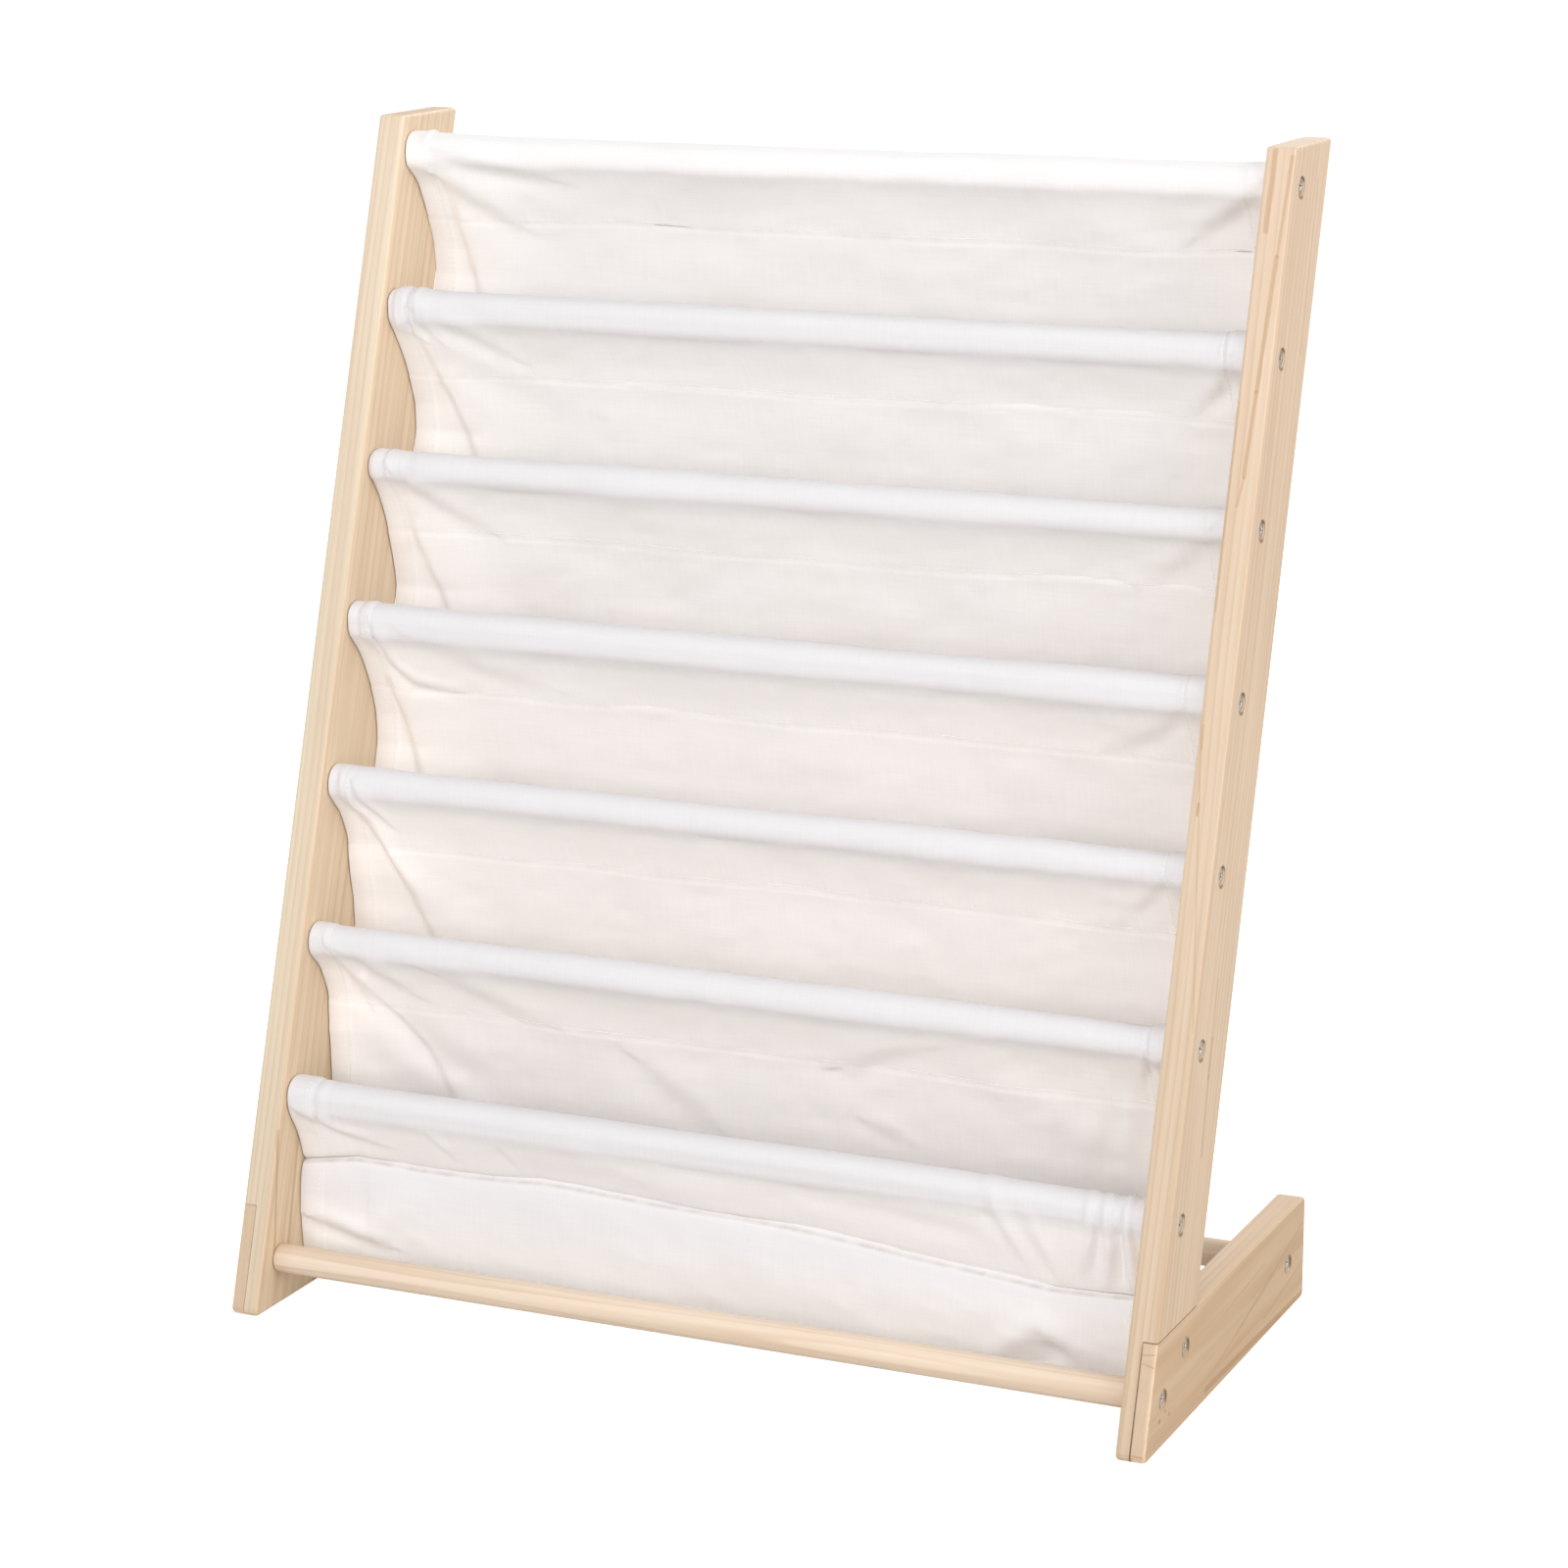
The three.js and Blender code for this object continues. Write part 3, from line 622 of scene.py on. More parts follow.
def sleeve_path(row, across):
    """From the seam up the back leg, over the roll and down the front leg to the seam."""
    seam = seam_point(row, across) - DOWEL_AXES[row]
    angle = math.atan2(seam[1], seam[0])
    wrap = math.acos(SLEEVE_RADIUS / np.hypot(*seam))
    turns = np.linspace(angle + wrap, angle - wrap + 2 * math.pi, ROLL_STEPS + 1)
    roll = SLEEVE_RADIUS * np.column_stack([np.cos(turns), np.sin(turns)])
    up = np.linspace(0, 1, BACK_LEG_STEPS, endpoint=False)[:, None]
    down = np.linspace(0, 1, FRONT_LEG_STEPS + 1)[1:, None]
    back = (seam + BACK_LEG_FOOT) * (1 - up) + roll[0] * up
    front = roll[-1] * (1 - down) + seam * down
    return np.vstack([back, roll, front]) + DOWEL_AXES[row]


def pocket_path(pocket, across):
    """From the seam down the back panel, round the bottom and up the front panel."""
    shown = np.linspace(0, SHOWN_PANEL_SHARE, SHOWN_PANEL_STEPS + 1)[1:]
    hidden = np.linspace(SHOWN_PANEL_SHARE, 1, HIDDEN_PANEL_STEPS + 1)[1:]
    back = cubic(back_panel(pocket, across), np.concatenate([shown, hidden]))
    front_steps = LOOSE_PANEL_STEPS if pocket == LOWEST - 1 else FRONT_PANEL_STEPS
    front = front_panel(pocket, across, np.linspace(1, 0, front_steps + 1)[:-1])
    handle = np.array([0, -POCKET_SAG / CURVE_SAG_SHARE])
    ends = back[-1], back[-1] + handle, front[0] + handle, front[0]
    bottom = cubic(ends, np.linspace(0, 1, BOTTOM_STEPS + 1)[1:-1])
    return np.vstack([back, bottom, front])


def column_places():
    """Distances from the canvas's left edge, closer together at its hems."""
    edge = np.concatenate([[0, 0.7, 1.6], np.arange(3.0, 15.0, 1.3), [15.2, 15.8, 16.2, 16.9, 18.0]])
    left = np.concatenate([edge, np.arange(19.6, 70.0, 1.9)])
    middle = np.linspace(left[-1], CANVAS_WIDTH - left[-1], 150)[1:-1]
    return np.concatenate([left, middle, (CANVAS_WIDTH - left)[::-1]])


# Folds, in a list for each row from the top: each is a run of (across, drop) points, how far it
# stands out and how wide it is. A step is a ridge above its run and a hollow below it, and a ridge
# or hollow lies on its run.
STEP, RIDGE = "step", "ridge"
FOLDS = [
    [(STEP, [(20, -2), (41, 4), (93, 14)], 2, 8),
     (STEP, [(21, 18), (36, 28), (62, 43)], 1.8, 9.6),
     (RIDGE, [(25, 11), (71, 28), (121, 37)], 1, 12.8),
     (STEP, [(557, 1), (545, 14), (517, 32)], 1.8, 8),
     (RIDGE, [(422, 30), (522, 40)], 0.9, 14.4)],
    [(STEP, [(20, 0), (48, 11), (77, 28)], 1.6, 8),
     (STEP, [(18, -6), (21, 6), (29, 16)], 1.7, 5.6),
     (STEP, [(553, 2), (545, 20), (532, 32)], 1.8, 6.4),
     (STEP, [(28, 23), (70, 45), (120, 61)], 1, 12.8)],
    [(STEP, [(18, 3), (40, 21), (70, 39)], 1.5, 9),
     (RIDGE, [(20, 3), (30, 3), (40, 3)], -1.1, 4.5),
     (STEP, [(550, 4), (534, 24), (507, 40)], 1.1, 9)],
    [(STEP, [(16, 1), (22, 25), (34, 36), (60, 40)], 1.8, 4.9),
     (STEP, [(46, 5), (90, 24), (130, 33)], 0.9, 11.2),
     (STEP, [(550, 2), (532, 22), (501, 36)], 1, 8.4)],
    [(STEP, [(8, 0), (10, 11), (20, 30), (43, 70)], 1.8, 5.2),
     (STEP, [(18, 1), (21, 8), (27, 15), (35, 24)], 1.5, 3.9),
     (RIDGE, [(13, 14), (39, 59), (79, 96)], 1.4, 11.7),
     (STEP, [(552, 2), (537, 20), (521, 34)], 0.9, 6.5)],
    [(STEP, [(13, 4), (19, 19), (29, 40)], 2, 6.5),
     (RIDGE, [(43, 38), (67, 71), (109, 94)], -2.6, 12.6),
     (RIDGE, [(29, 47), (51, 80), (83, 100)], 2.2, 12.6),
     (STEP, [(88, 14), (128, 33), (150, 40)], 1.5, 11.5),
     (STEP, [(28, 8), (42, 17), (62, 30)], 1.6, 8),
     (STEP, [(216, 62), (259, 96)], 1.2, 13),
     (STEP, [(367, 82), (385, 88)], 1.1, 8),
     (STEP, [(353, 42), (373, 34), (405, 24)], 1.6, 11),
     (RIDGE, [(512, 52), (507, 66), (498, 96)], 1.5, 10),
     (RIDGE, [(532, 45), (530, 62), (527, 100)], 1.8, 6.5),
     (RIDGE, [(441, 36), (521, 70)], 1.4, 13.8),
     (STEP, [(551, 2), (549, 14), (545, 26)], 1.5, 4)],
    [(STEP, [(7, 4), (29, 16), (58, 23)], 1.5, 5),
     (STEP, [(97, 11), (108, 24)], 1.3, 4),
     (STEP, [(145, 14), (152, 26)], 1, 4),
     (RIDGE, [(200, 9), (239, 21), (299, 25)], 0.9, 8),
     (RIDGE, [(330, 13), (359, 29)], 0.9, 7),
     (STEP, [(463, -6), (471, 12), (481, 34)], 2.1, 5.5),
     (STEP, [(501, 41), (491, 19), (487, 2)], 1.4, 6),
     (RIDGE, [(464, 98), (492, 74), (524, 90)], 3.6, 8),
     (RIDGE, [(496, 101), (508, 89)], -4.4, 10),
     (RIDGE, [(330, 16), (400, 20), (455, 27)], -1.5, 8),
     (STEP, [(11, 78), (39, 85), (59, 90)], 2.5, 7),
     (RIDGE, [(23, 97), (59, 71), (90, 50)], 1.8, 10),
     (RIDGE, [(301, 60), (380, 97)], 0.8, 14),
     (RIDGE, [(529, -12), (528, 12), (520, 37)], 2.8, 3.4),
     (RIDGE, [(539, -12), (539, 16), (535, 45)], 3.2, 3.2),
     (RIDGE, [(552, -12), (552, 12), (552, 42)], 3.2, 3.4),
     (RIDGE, [(534, -10), (533, 14), (528, 40)], -2.4, 2.6),
     (RIDGE, [(546, -10), (546, 15), (545, 41)], -2.6, 2.6)],
]

# Bands where the hem is bunched round the roll, for each row: side, from, to, height
RINGS = [
    [("left", 0, 14.5, 3), ("right", 0, 12, 0.5)],
    [("left", 4, 13, 2.6), ("left", 14.5, 22.5, 1.5), ("right", 0, 11.5, 2)],
    [("left", 1.5, 8.5, 1.4), ("left", 11, 20, 1.3), ("left", 21, 25.5, 0.7),
     ("right", 0, 13, 0.9)],
    [("left", 0, 6, 1), ("left", 8, 15.5, 1.9), ("right", 0, 12, 1)],
    [("left", 0, 11, 1.6), ("right", 0, 12, 1)],
    [("left", 0, 13, 1.6), ("right", 0, 10.5, 2.8)],
    [("left", 0, 17, 2), ("left", 19, 26, 0.9), ("right", 0, 6, 0.6)],
]

# Creases beside the left hem, as places from the canvas's left edge at each drop: the canvas
# stands out on their inner side and falls back to the hem
CREASE_DROPS = [-10, 0, 12, 24, 36, 48, 66, 84, 100]
CREASE_PLACES = [
    [12, 17, 17, 21, 22, 23, 26, 31, 35],
    [8, 10, 16, 18, 21, 25, 32, 39, 45],
    [32, 31, 25, 20, 18, 21, 26, 34, 40],
    [14, 14, 13, 16, 16, 18, 23, 28, 33],
    [11, 11, 14, 23, 26, 30, 38, 46, 53],
    [36, 37, 39, 28, 35, 48, 62, 72, 80],
    [14, 16, 22, 40, 44, 46, 48, 50, 50],
]
CREASE_LIFTS = [3.4, 3.4, 3.2, 3.4, 3.6, 2.4, 1.0]

# How much further forward the left edge hangs, by row, at these drops
EDGE_DROPS = [20, 38, 50, 62, 80, 100]
EDGE_SHIFTS = [
    [0, 0, 0, 0, 3, 11],
    [0, 0, 0, 0, 3, 11],
    [0, 2, 3.5, 3.5, 4, 11],
    [0, 0, 0, 0, 3, 11],
    [0, 2, 6, 9, 10, 12],
    [0, 3, 8, 12, 14, 16],
    [0, 3, 3.5, 3, 4, 5],
]

# How far each roll's cloth stands off the top of its dowel, from left to right
ROLL_LIFTS = [
    [1.5, 1.2, 1.5, 2.0],
    [2.4, 2.7, 2.2, 2.0],
    [0.2, 0.0, 0.0, 0.4],
    [3.2, 2.4, 2.4, 2.6],
    [0.5, 0.0, 0.0, 0.6],
    [0.8, 0.0, 0.2, 0.0],
    [3.4, 3.1, 3.8, 1.5],
]


def smooth_step(value, start, end):
    share = np.clip((value - start) / (end - start), 0, 1)
    return share * share * (3 - 2 * share)


def run_distance(across, drop, run):
    """The signed distance from a run of points, below it counting as more, and how far along it is."""
    best = np.full(across.shape, 1e9)
    signed = np.zeros(across.shape)
    share = np.zeros(across.shape)
    lengths = [math.dist(a, b) for a, b in zip(run, run[1:])]
    total = sum(lengths)
    before = 0.0
    for (ax, ad), (bx, bd), length in zip(run, run[1:], lengths):
        dx, dd = (bx - ax) / length, (bd - ad) / length
        along = np.clip((across - ax) * dx + (drop - ad) * dd, 0, length)
        px, pd = across - ax - along * dx, drop - ad - along * dd
        gap = np.hypot(px, pd)
        side = np.sign(dx * pd - dd * px) * (1 if dx >= 0 else -1)
        closer = gap < best
        best = np.where(closer, gap, best)
        signed = np.where(closer, gap * side, signed)
        share = np.where(closer, (before + along) / total, share)
        before += length
    return signed, share


def fold_height(row, across, drop):
    height = np.zeros(across.shape)
    for kind, run, depth, width in FOLDS[row]:
        signed, share = run_distance(across, drop, run)
        q = signed / width
        fade = 0.35 + 0.65 * np.sin(math.pi * np.clip(0.12 + 0.88 * share, 0, 1)) ** 0.8
        if kind == STEP:
            height -= depth * q * np.exp(0.5 - q * q) * 1.1 * fade
        else:
            height += depth * np.exp(-q * q) * fade
    return height


def lattice_noise(across, along, cell, seed):
    """Smooth noise between about -1 and 1 with features about as large as cell."""
    rng = np.random.default_rng(seed)
    u, v = across / cell[0], along / cell[1]
    size = int(max(u.max(), v.max(), 0) - min(u.min(), v.min(), 0)) + 4
    table = rng.uniform(-1, 1, (size, size))
    u, v = u - min(u.min(), 0), v - min(v.min(), 0)
    i, j = u.astype(int), v.astype(int)
    fu, fv = u - i, v - j
    fu, fv = fu * fu * (3 - 2 * fu), fv * fv * (3 - 2 * fv)
    top = table[i, j] * (1 - fu) + table[i + 1, j] * fu
    low = table[i, j + 1] * (1 - fu) + table[i + 1, j + 1] * fu
    return top * (1 - fv) + low * fv


def ring_height(row, across, drop):
    """The hem's raised band, highest where it is bunched round the roll."""
    height = np.zeros(across.shape)
    on_roll = 1 - smooth_step(drop, *RING_FADE)
    for side, start, end, rise in RINGS[row]:
        inward = across if side == "left" else CANVAS_WIDTH - across
        rising = smooth_step(inward, start - 0.8, start + 1.2) if start else 1.0
        band = rising * (1 - smooth_step(inward, end - 1.4, end + 0.4))
        groove = np.exp(-((inward - end - 0.6) / 0.9) ** 2) if end > RING_GROOVE_START else 0.0
        height += (band * rise - RING_GROOVE * groove) * on_roll
    return height


def crease_height(row, across, drop):
    """The fullness beside the left hem: highest just inside its crease, then easing off."""
    inward = across - np.interp(drop, CREASE_DROPS, CREASE_PLACES[row])
    depth = CREASE_LIFTS[row] * (0.35 + 0.65 * smooth_step(drop, *CREASE_RISE))
    return depth * smooth_step(inward, -4.0, 3.5) * (1 - smooth_step(inward, 8, 60))


def roll_lift(row, across, drop):
    """The cloth standing off the top of the dowel."""
    places = np.linspace(0, CANVAS_WIDTH, len(ROLL_LIFTS[row]))
    above = np.clip(-drop / SLEEVE_RADIUS, 0, 1)
    return np.interp(across, places, ROLL_LIFTS[row]) * smooth_step(above, 0.0, 0.9)


def edge_shift(row, across, drop):
    """How much further forward the cloth hangs near its left edge."""
    return np.interp(drop, EDGE_DROPS, EDGE_SHIFTS[row]) * (1 - smooth_step(across, 4, 75))


def hem_height(across):
    inward = np.minimum(across, CANVAS_WIDTH - across)
    return HEM_LIFT * (1 - smooth_step(inward, HEM_WIDTH - 2.0, HEM_WIDTH + 1.0))


def seam_height(row, across, drop, seam_drop):
    """The seam's groove and the small puckers that its stitches pull across it."""
    gap = drop - seam_drop
    pull = 0.5 + 0.5 * lattice_noise(across, drop * 0, (7.0, 1.0), 40 + row)
    groove = -SEAM_GROOVES[row] * np.exp(-(gap / SEAM_GROOVE_WIDTH) ** 2)
    puckers = PUCKER * pull * np.exp(-(gap / PUCKER_WIDTH) ** 2)
    return groove + puckers


def band_bow(row, drop, seam_drop):
    """How far the cloth between the roll and its seam bows in."""
    share = np.clip((drop - BAND_START) / (seam_drop - BAND_START), 0, 1)
    return -BAND_BOWS[row] * 4 * share * (1 - share)


def drape_height(row, across, along):
    """The canvas's slow unevenness and its small creases."""
    slow = 1.2 * lattice_noise(across, along, (95.0, 60.0), 10 + row)
    middle = 0.6 * lattice_noise(across, along, (34.0, 26.0), 20 + row)
    fine = 0.26 * lattice_noise(across + 0.5 * along, along, (13.0, 9.0), 30 + row)
    return slow + middle + fine


def strip_path(across):
    """The strip's points at one place across it: sleeve 1, pocket 1, sleeve 2 and so on."""
    parts = [sleeve_path(0, across)]
    for row in range(1, SLING_ROWS):
        parts += [pocket_path(row - 1, across), sleeve_path(row, across)]
    return np.vstack(parts)


SLEEVE_WEIGHTS = np.concatenate([
    np.zeros(BACK_LEG_STEPS), np.linspace(0.0, 1.0, ROLL_STEPS + 1) ** 0.5, np.ones(FRONT_LEG_STEPS)])
POCKET_WEIGHTS = np.concatenate([
    np.ones(SHOWN_PANEL_STEPS), np.linspace(1, INNER_WEIGHT, HIDDEN_PANEL_STEPS),
    np.full(BOTTOM_STEPS - 1, INNER_WEIGHT)])


def strip_layout():
    """How strongly folds show at the strip's points, their rows, and the points on the seams' front."""
    weights, owner, seams = [], [], []
    for row in range(SLING_ROWS):
        weights.append(SLEEVE_WEIGHTS)
        owner += [row] * len(SLEEVE_WEIGHTS)
        seams.append(len(owner) - 1)
        if row == LOWEST:
            break
        loose = row == LOWEST - 1
        front = np.ones(LOOSE_PANEL_STEPS) if loose else np.linspace(INNER_WEIGHT, 0, FRONT_PANEL_STEPS)
        weights += [POCKET_WEIGHTS, front]
        owner += [row] * len(POCKET_WEIGHTS) + [LOWEST if loose else row] * len(front)
    return np.concatenate(weights), np.array(owner), seams


WEIGHTS, OWNER, SEAMS = strip_layout()
SHEET_TOP = SEAMS[-1] - len(SLEEVE_WEIGHTS)

# 1 where the strip's normals face outward, -1 where they face into the lowest pocket
FACING = np.ones((len(OWNER), 1))
FACING[SHEET_TOP + 1 - LOOSE_PANEL_STEPS:SHEET_TOP + 1] = -1


def path_normals(line):
    """Unit normals of a path in the side view, away from the dowel and the pocket."""
    step = np.gradient(line, axis=0)
    step /= np.linalg.norm(step, axis=1)[:, None]
    return FACING * np.column_stack([step[:, -1], -step[:, -2]])


def axis_distance(flat):
    """How far each point of the side view is from its row's dowel axis, in millimetres."""
    return np.linalg.norm(flat - DOWEL_AXES[OWNER][:, None, :], axis=2)


def cloth_shade_and_backing(across, flat, drops):
    """Painted shade, which also lets less light through the cloth: 1 where the canvas lies on a dowel, fading
    below each roll, with less on the top roll, and on the lowest row a share on the band and more on the
    front sheet below its seam, fading towards the sheet's bottom.
    """
    gap = axis_distance(flat) - SLEEVE_RADIUS
    shade_and_backing = (1 - smooth_step(gap, *ROLL_SHADE_GAP)) * (1 - smooth_step(drops, *ROLL_SHADE_FADE))
    shade_and_backing[OWNER == 0] *= TOP_ROLL_SHADE
    lowest = OWNER == LOWEST
    front = FRONT_SHEET_SHADE * (1 - smooth_step(drops[lowest], *FRONT_FADE))
    below = smooth_step(drops[lowest] - np.interp(across, FRONT_SEAM_PLACES, FRONT_SEAM_DROPS), *SEAM_FADE)
    shade_and_backing[lowest] = np.maximum(shade_and_backing[lowest], BAND_SHADE * (1 - below) + front * below)
    return shade_and_backing


def relief_height(row, across, along, drop, seam_drop):
    """How far the cloth of a row stands out, from everything that shapes it."""
    return (fold_height(row, across, drop) + ring_height(row, across, drop)
            + seam_height(row, across, drop, seam_drop) + crease_height(row, across, drop)
            + band_bow(row, drop, seam_drop) + drape_height(row, across, along))


def sling_points():
    """The sling's places across and along, its points, and its painted shade, strongest where it lies on a
    dowel.
    """
    across = column_places()
    flat = np.stack([strip_path(place) for place in across], axis=1)
    drops = DOWEL_AXES[OWNER][:, 1:] - flat[:, :, 1]
    steps = np.linalg.norm(np.diff(flat[:, len(across) // 2], axis=0), axis=1)
    run = np.concatenate([[0], np.cumsum(steps)])
    normals = np.stack([path_normals(flat[:, column]) for column in range(len(across))], axis=1)
    wide = np.broadcast_to(across, drops.shape)
    along = np.broadcast_to(run[:, None], drops.shape)
    height, lift, shift = (np.zeros(drops.shape) for _ in range(3))
    for row in range(SLING_ROWS):
        mine = OWNER == row
        seam_drop = np.array([DOWEL_AXES[row][1] - seam_point(row, place)[1] for place in across])
        height[mine] = relief_height(row, wide[mine], along[mine], drops[mine], seam_drop)
        lift[mine] = roll_lift(row, wide[mine], drops[mine])
        shift[mine] = edge_shift(row, wide[mine], drops[mine])
    height = (height + hem_height(wide)) * WEIGHTS[:, None]
    clear = axis_distance(flat) - DOWEL_RADIUS - CANVAS_THICKNESS / 2 - DOWEL_CLEARANCE
    height = np.maximum(height, -np.maximum(clear, 0)) + lift
    moved = flat + normals * height[:, :, None]
    moved[:, :, 0] -= shift * WEIGHTS[:, None]
    points = np.dstack([wide - HALF_WIDTH, moved]) * MM
    return across, run, points, cloth_shade_and_backing(across, flat, drops)


def cloth_uv(mesh, across, run):
    layer = mesh.uv_layers.new(name="cloth")
    index = np.zeros(len(mesh.loops), np.int32)
    mesh.loops.foreach_get("vertex_index", index)
    places = np.column_stack([across[index % len(across)], run[index // len(across)]]) * MM
    layer.data.foreach_set("uv", places.astype(np.float32).ravel())


def seam_shade(across):
    """The painted shadow along each seam's line, patchy along its width, at the strip's points."""
    shade = np.zeros((len(OWNER), len(across)))
    for row, index in enumerate(SEAMS):
        patchy = 0.7 + 0.3 * lattice_noise(across, across * 0, (4.0, 1.0), 60 + row)
        shade[index] = SEAM_SHADES[row] * patchy
    shade[SHEET_TOP] = SHEET_TOP_SHADE * patchy
    return shade


def sling_piece(material):
    across, run, points, shade_and_backing = sling_points()
    item = mesh_object("sling_canvas", points.reshape(-1, 3), grid_faces(len(run), len(across)), material)
    cloth_uv(item.data, across, run)
    point_values(item.data, "shade_and_backing", shade_and_backing)
    point_values(item.data, "seam", seam_shade(across))
    solid = item.modifiers.new("thickness", "SOLIDIFY")
    solid.thickness = CANVAS_THICKNESS * MM
    solid.offset = 0.0
    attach(item, "root")
    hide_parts(*[f"sling_sleeve_{row + 1}" for row in range(SLING_ROWS)],
                *[f"sling_pocket_{row + 1}" for row in range(SLING_ROWS - 1)])
    return item, across, run, points


# Stitches

THREAD_SHAPE = ((0.0, 0.25), (0.12, 0.8), (0.5, 1.0), (0.88, 0.8), (1.0, 0.25))
THREAD_SIDES = 6
STITCH_LIFT = 0.0005
HEM_STITCH_INSET = 2.2


def line_stitches(line):
    """Starts and ends of stitches along a line of points."""
    steps = np.concatenate([[0], np.cumsum(np.linalg.norm(np.diff(line, axis=0), axis=1))])
    pitch, length = STITCH_PITCH * MM, STITCH_LENGTH * MM
    starts = np.arange(pitch * 0.5, steps[-1] - length, pitch)
    places = np.stack([starts, starts + length])
    return np.stack([np.interp(places, steps, line[:, axis]) for axis in range(3)], axis=-1)


def stitch_mesh(starts, ends, radius):
    """Small rounded threads from each start to its end, as one set of points and faces."""
    direction = ends - starts
    length = np.linalg.norm(direction, axis=1, keepdims=True)
    direction = direction / length
    helper = np.where(np.abs(direction[:, :1]) < 0.8, [[1.0, 0, 0]], [[0, 0, 1.0]])
    first = np.cross(direction, helper)
    first /= np.linalg.norm(first, axis=1, keepdims=True)
    second = np.cross(direction, first)
    rings = []
    for share, size in THREAD_SHAPE:
        centre = starts + direction * length * share
        for side in range(THREAD_SIDES):
            turn = 2 * math.pi * side / THREAD_SIDES
            rings.append(centre + radius * size * (first * math.cos(turn) + second * math.sin(turn)))
    points = np.stack(rings, axis=1).reshape(-1, 3)
    pattern = grid_faces(len(THREAD_SHAPE), THREAD_SIDES, True)
    faces = (pattern[None] + (np.arange(len(starts)) * len(rings))[:, None, None]).reshape(-1, 4)
    return points, faces


def stitching_piece(material, across, points):
    lines = [points[index - 1] + (0, -STITCH_LIFT, 0) for index in SEAMS]
    inset = HEM_WIDTH - HEM_STITCH_INSET
    for place in (inset, CANVAS_WIDTH - inset):
        column = int(np.argmin(np.abs(across - place)))
        line = points[:, column].copy()
        line[:, 1:] += path_normals(line) * STITCH_LIFT
        lines.append(line)
    starts, ends = np.concatenate([line_stitches(line) for line in lines], axis=1)
    mesh_points, faces = stitch_mesh(starts, ends, STITCH_RADIUS * MM)
    item = mesh_object("sling_stitching", mesh_points, faces, material)
    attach(item, "root")
    return item


# Screws, in millimetres from the head's face

SCREW_SEGMENTS = 48
HEAD_RINGS = 22
HEAD_DOME = 0.25
HEAD_EDGE = 0.32, 0.6
SHANK_RADIUS = 1.9
SHANK_SHARE = 0.45
THREAD_STEP = 0.45
THREAD_DEPTH = 0.35
POINT_LENGTH = 3.0
RECESS_ARM = 2.8
RECESS_HALF = 0.8
RECESS_DEPTH = 1.8


def recess_depth(y, z):
    """How deep the cross recess is at a point of the head's face, in millimetres."""
    near = np.minimum(np.abs(y), np.abs(z))
    far = np.maximum(np.abs(y), np.abs(z))
    slot = 1 - smooth_step(near, RECESS_HALF * 0.7, RECESS_HALF * 1.15)
    reach = 1 - smooth_step(far, RECESS_ARM * 0.35, RECESS_ARM)
    return RECESS_DEPTH * slot * reach


def head_rings(head, twist):
    """Rings of (depth, y, z) over the domed head with its cross, and the recess's depth at each point."""
    turn = np.linspace(0, 2 * math.pi, SCREW_SEGMENTS, endpoint=False)
    rings, depths = [], []
    for radius in np.concatenate([[0.02], np.linspace(0.25, head * 0.93, HEAD_RINGS)]):
        recess = recess_depth(radius * np.cos(turn + twist), radius * np.sin(turn + twist))
        rise = HEAD_DOME * (radius / head) ** 2
        rings.append(np.column_stack([rise + recess, radius * np.cos(turn), radius * np.sin(turn)]))
        depths.append(recess)
    return rings, np.concatenate(depths)


def shank_profile(head, length):
    """(depth, radius) from the head's edge down the plain shank and the thread to the point."""
    start = length * SHANK_SHARE
    profile = [(depth, head) for depth in HEAD_EDGE]
    profile += [(head - SHANK_RADIUS + 0.7, SHANK_RADIUS), (start, SHANK_RADIUS)]
    for index, depth in enumerate(np.arange(start, length - POINT_LENGTH, THREAD_STEP)):
        profile.append((depth, SHANK_RADIUS - (THREAD_DEPTH if index % 4 >= 2 else 0)))
    return profile + [(length, 0.05)]


def screw_piece(node, material):
    """A countersunk screw with a cross recess, in place of the node's plain one."""
    low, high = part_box(node)
    side = -1 if low.x < 0 else 1
    face = np.array([low.x if side < 0 else high.x, (low.y + high.y) / 2, (low.z + high.z) / 2])
    head = (high.z - low.z) / 2 / MM
    rings, recess = head_rings(head, math.radians(name_number(node) % 90))
    profile = shank_profile(head, (high.x - low.x) / MM)
    points = np.concatenate([*rings, lathe(profile, SCREW_SEGMENTS, (0, 0, 0))])
    faces = grid_faces(len(rings) + len(profile), SCREW_SEGMENTS, True)
    if side < 0:
        faces = faces[:, ::-1]
    item = mesh_object(node + "_cross_head", face + points * (-side * MM, MM, MM), faces, material)
    # How much painted shade each point of the cross recess takes
    shade = np.zeros(len(points))
    shade[:len(recess)] = recess / RECESS_DEPTH
    point_values(item.data, "recess", shade)
    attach(item, "root")
    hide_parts(node)


def name_number(name):
    """A number that is the same for a name in every run."""
    return sum((index + 3) * ord(letter) for index, letter in enumerate(name)) * 37


# Boards

def upright_direction():
    """The way that the uprights lean, from the row of sling dowels."""
    lean = DOWEL_AXES[0] - DOWEL_AXES[-1]
    lean /= np.linalg.norm(lean)
    return (0.0, float(lean[0]), float(lean[1]))


def screw_centres(side, kinds):
    """The middles of the screw heads of these kinds on one side's outer face."""
    centres = []
    for name in sorted(nodes):
        if name.startswith(side) and any(kind in name for kind in kinds):
            low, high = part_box(name)
            face = low.x if side == "left" else high.x
            centres.append((face, (low.y + high.y) / 2, (low.z + high.z) / 2 - RIM_DROP))
    return centres


def paint(node, material):
    mesh = nodes[node].data
    mesh.materials.clear()
    mesh.materials.append(material)


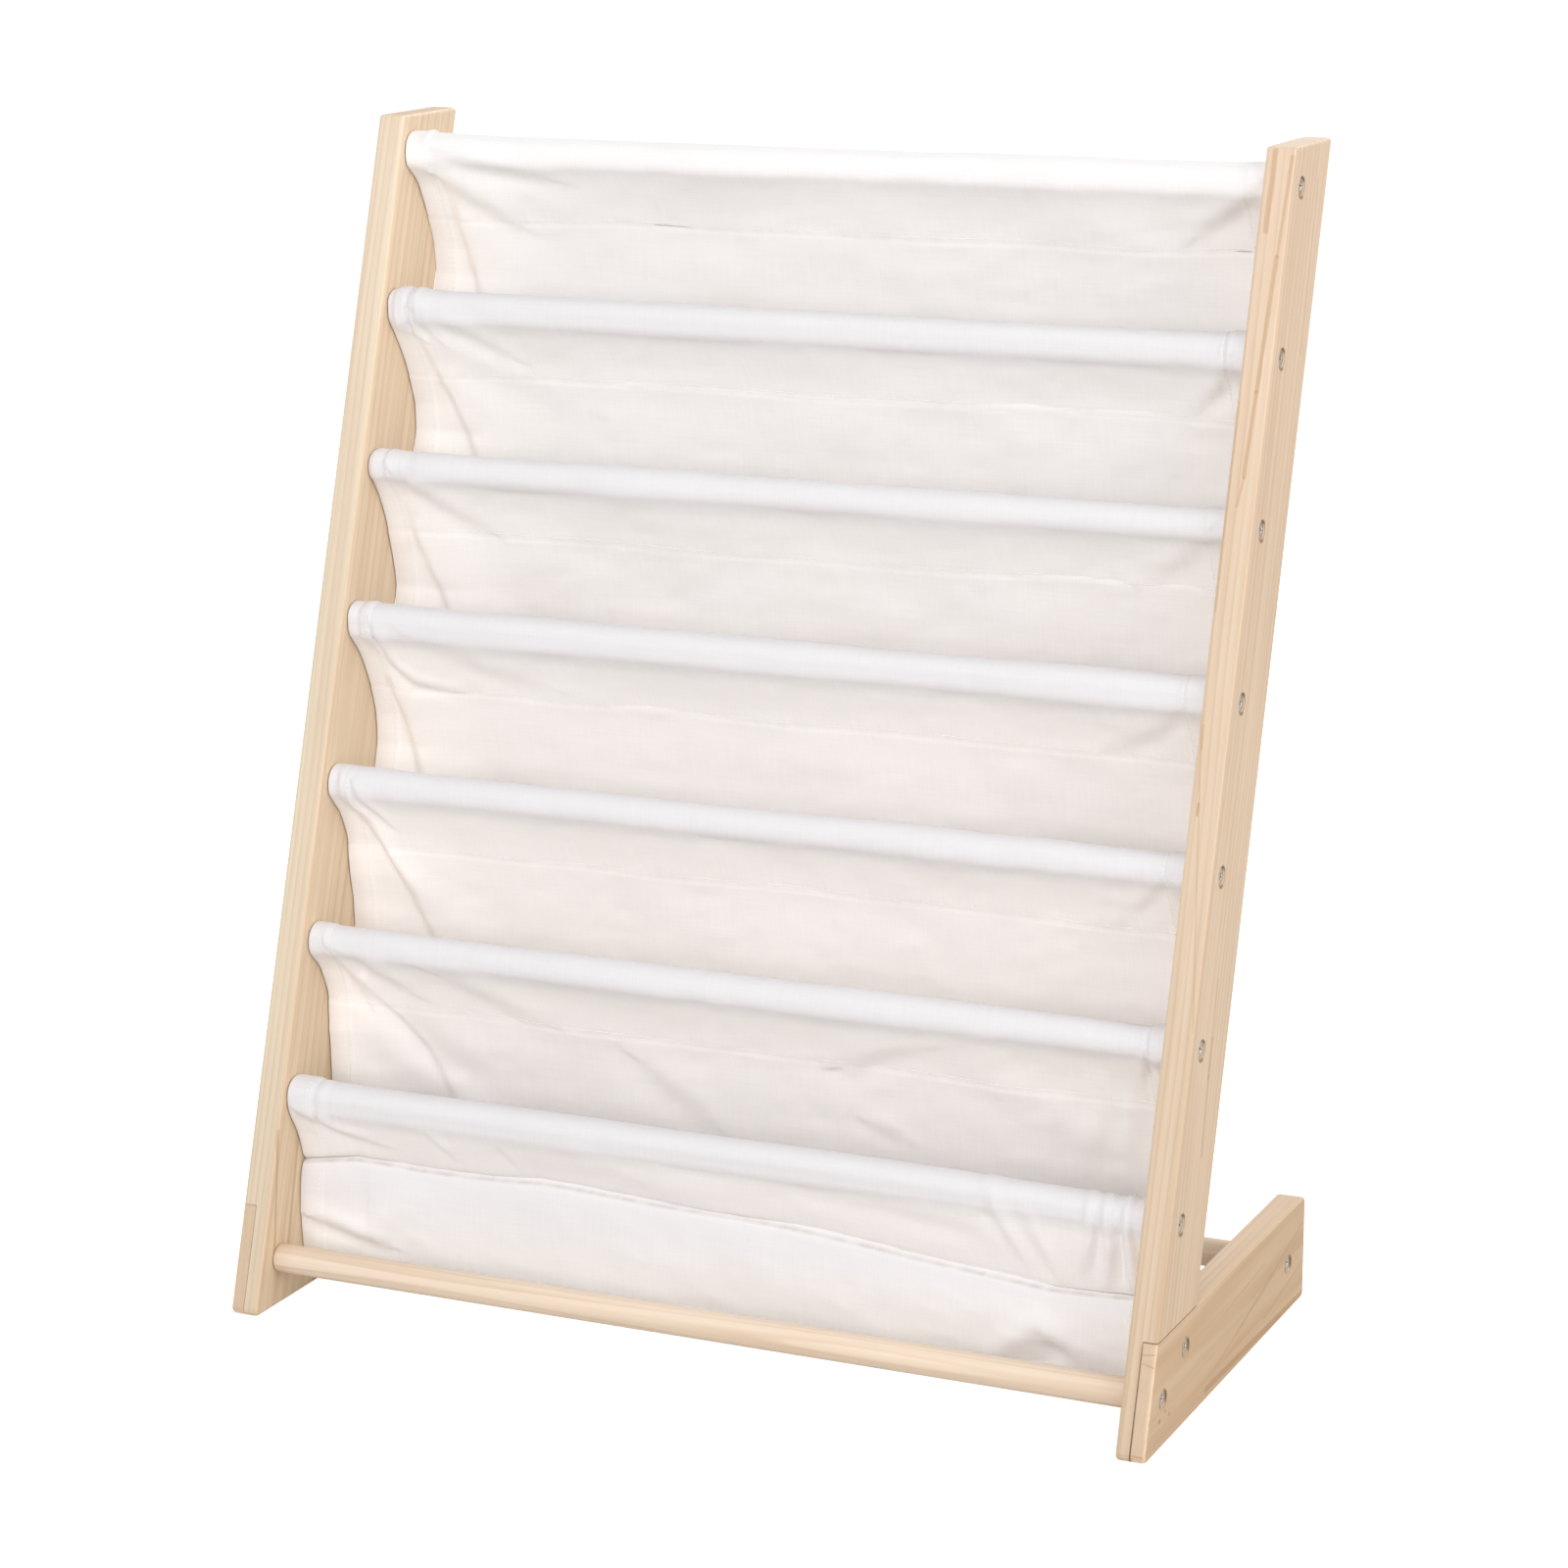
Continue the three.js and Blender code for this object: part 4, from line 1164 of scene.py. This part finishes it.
def dress_boards():
    low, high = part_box("right_upright")
    lap = (low.x + high.x) / 2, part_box("right_foot_rail")[1].z
    for index, side in enumerate(("left", "right")):
        marks, foot_marks = {"streaks": LEFT_UPRIGHT_STREAKS}, {}
        if side == "right":
            marks = {"streaks": RIGHT_UPRIGHT_STREAKS, "lap": (*lap, True)}
            foot_marks = {"streaks": FOOT_STREAKS, "knots": FOOT_KNOTS, "lap": (*lap, False)}
        paint(f"{side}_upright", pine_material(
            f"pine_{side}_upright", upright_direction(), (1, 0, 0), (0.31 * index, 0.17, 0.4 * index),
            (0.05 + 0.3 * index, 0.24), 0.0036, rise_shade=RISE_SHADES, **UPRIGHT_TONES_AND_SHADES[side], **marks,
            screws=screw_centres(side, ["sling_screw"])))
        paint(f"{side}_foot_rail", pine_material(
            f"pine_{side}_foot", (0, 1, 0), (1, 0, 0), (0.23 + 0.2 * index, 0.52, 0.2),
            (0.26 + 0.2 * index, 0.47), 0.0042, face_shade=FOOT_FACE_SHADE, edge_shade=FOOT_TOP_SHADE, **foot_marks,
            screws=screw_centres(side, ["front_rail_screw", "rear_screw", "lap_screw"])))


def dress_dowels():
    for index, node in enumerate(["front_rail", "rear_stretcher"]):
        dowel_piece(node, pine_material(f"pine_{node}", (1, 0, 0), (0, 1, 0), (0.4, 0.8 + index, 0.3),
                                        (0.43, 0.81 + index), 0.0031, **RAIL_TONES))
    rod = pine_material("pine_sling_dowels", (1, 0, 0), (0, 1, 0), (0.9, 0.2, 0.7), (0.8, 0.4), 0.003)
    for row in range(SLING_ROWS):
        dowel_piece(f"sling_dowel_{row + 1}", rod, 64)


# Stage

def floor_material():
    m = new_shader("studio_floor")
    plain = m.add("BsdfDiffuse", {"Color": linear(FLOOR_TONE)}).outputs[0]
    lift = m.add("Emission", {"Color": (1, 1, 1, 1), "Strength": FLOOR_LIFT}).outputs[0]
    lifted = m.add("AddShader", {0: plain, 1: lift}).outputs[0]
    return m.finish(m.blend(m.add("LightPath").outputs["Is Camera Ray"], plain, lifted))


def stage_floor():
    half = FLOOR_SIZE / 2
    points = [(-half, -half, 0), (half, -half, 0), (half, half, 0), (-half, half, 0)]
    floor = mesh_object("studio_floor", points, [(0, 1, 2, 3)], floor_material(), smooth=False)


def stage_world():
    world = bpy.data.worlds.new("studio_world")
    bpy.context.scene.world = world
    m = Shader(world)
    seen = m.add("LightPath").outputs
    either = m.math("MAXIMUM", seen["Is Camera Ray"], seen["Is Glossy Ray"])
    either = m.math("MAXIMUM", either, seen["Is Transmission Ray"])
    ambient = m.add("Background", {"Color": WORLD_TONE, "Strength": WORLD_LEVEL}).outputs[0]
    white = m.add("Background", {"Color": (1, 1, 1, 1), "Strength": 1.0}).outputs[0]
    m.finish(m.blend(either, ambient, white), "World")


def add_object(name, data):
    item = bpy.data.objects.new(name, data)
    bpy.context.scene.collection.objects.link(item)
    return item


def area_light(name, place, size, watts, tone=(1, 1, 1)):
    data = bpy.data.lights.new(name, "AREA")
    data.color = tone
    data.shape = "RECTANGLE"
    data.size, data.size_y = size
    data.energy = watts
    lamp = add_object(name, data)
    lamp.location = place
    lamp.rotation_mode = "QUATERNION"
    lamp.rotation_quaternion = (Vector(LIGHT_TARGET) - Vector(place)).to_track_quat("-Z", "Y")


def stage_camera():
    data = bpy.data.cameras.new("camera")
    data.lens = CAMERA_LENS
    data.sensor_width = CAMERA_SENSOR
    data.sensor_fit = "HORIZONTAL"
    data.clip_start, data.clip_end = 0.05, 100
    camera = add_object("camera", data)
    back = -Vector(CAMERA_FORWARD).normalized()
    right = Vector(CAMERA_RIGHT).normalized()
    turn = Matrix((right, back.cross(right), back)).transposed().to_4x4()
    camera.matrix_world = Matrix.Translation(CAMERA_PLACE) @ turn
    bpy.context.scene.camera = camera


stage_camera()
stage_world()
stage_floor()
for light, settings in LIGHTS.items():
    area_light(light, **settings)
bpy.context.scene.view_settings.view_transform = "Standard"
dress_boards()
dress_dowels()
steel = steel_material()
for name in sorted(nodes):
    if name.endswith("_screw") or "_screw_" in name:
        screw_piece(name, steel)
sling, sling_across, sling_run, sling_surface = sling_piece(canvas_material())
stitching = stitching_piece(thread_material(), sling_across, sling_surface)
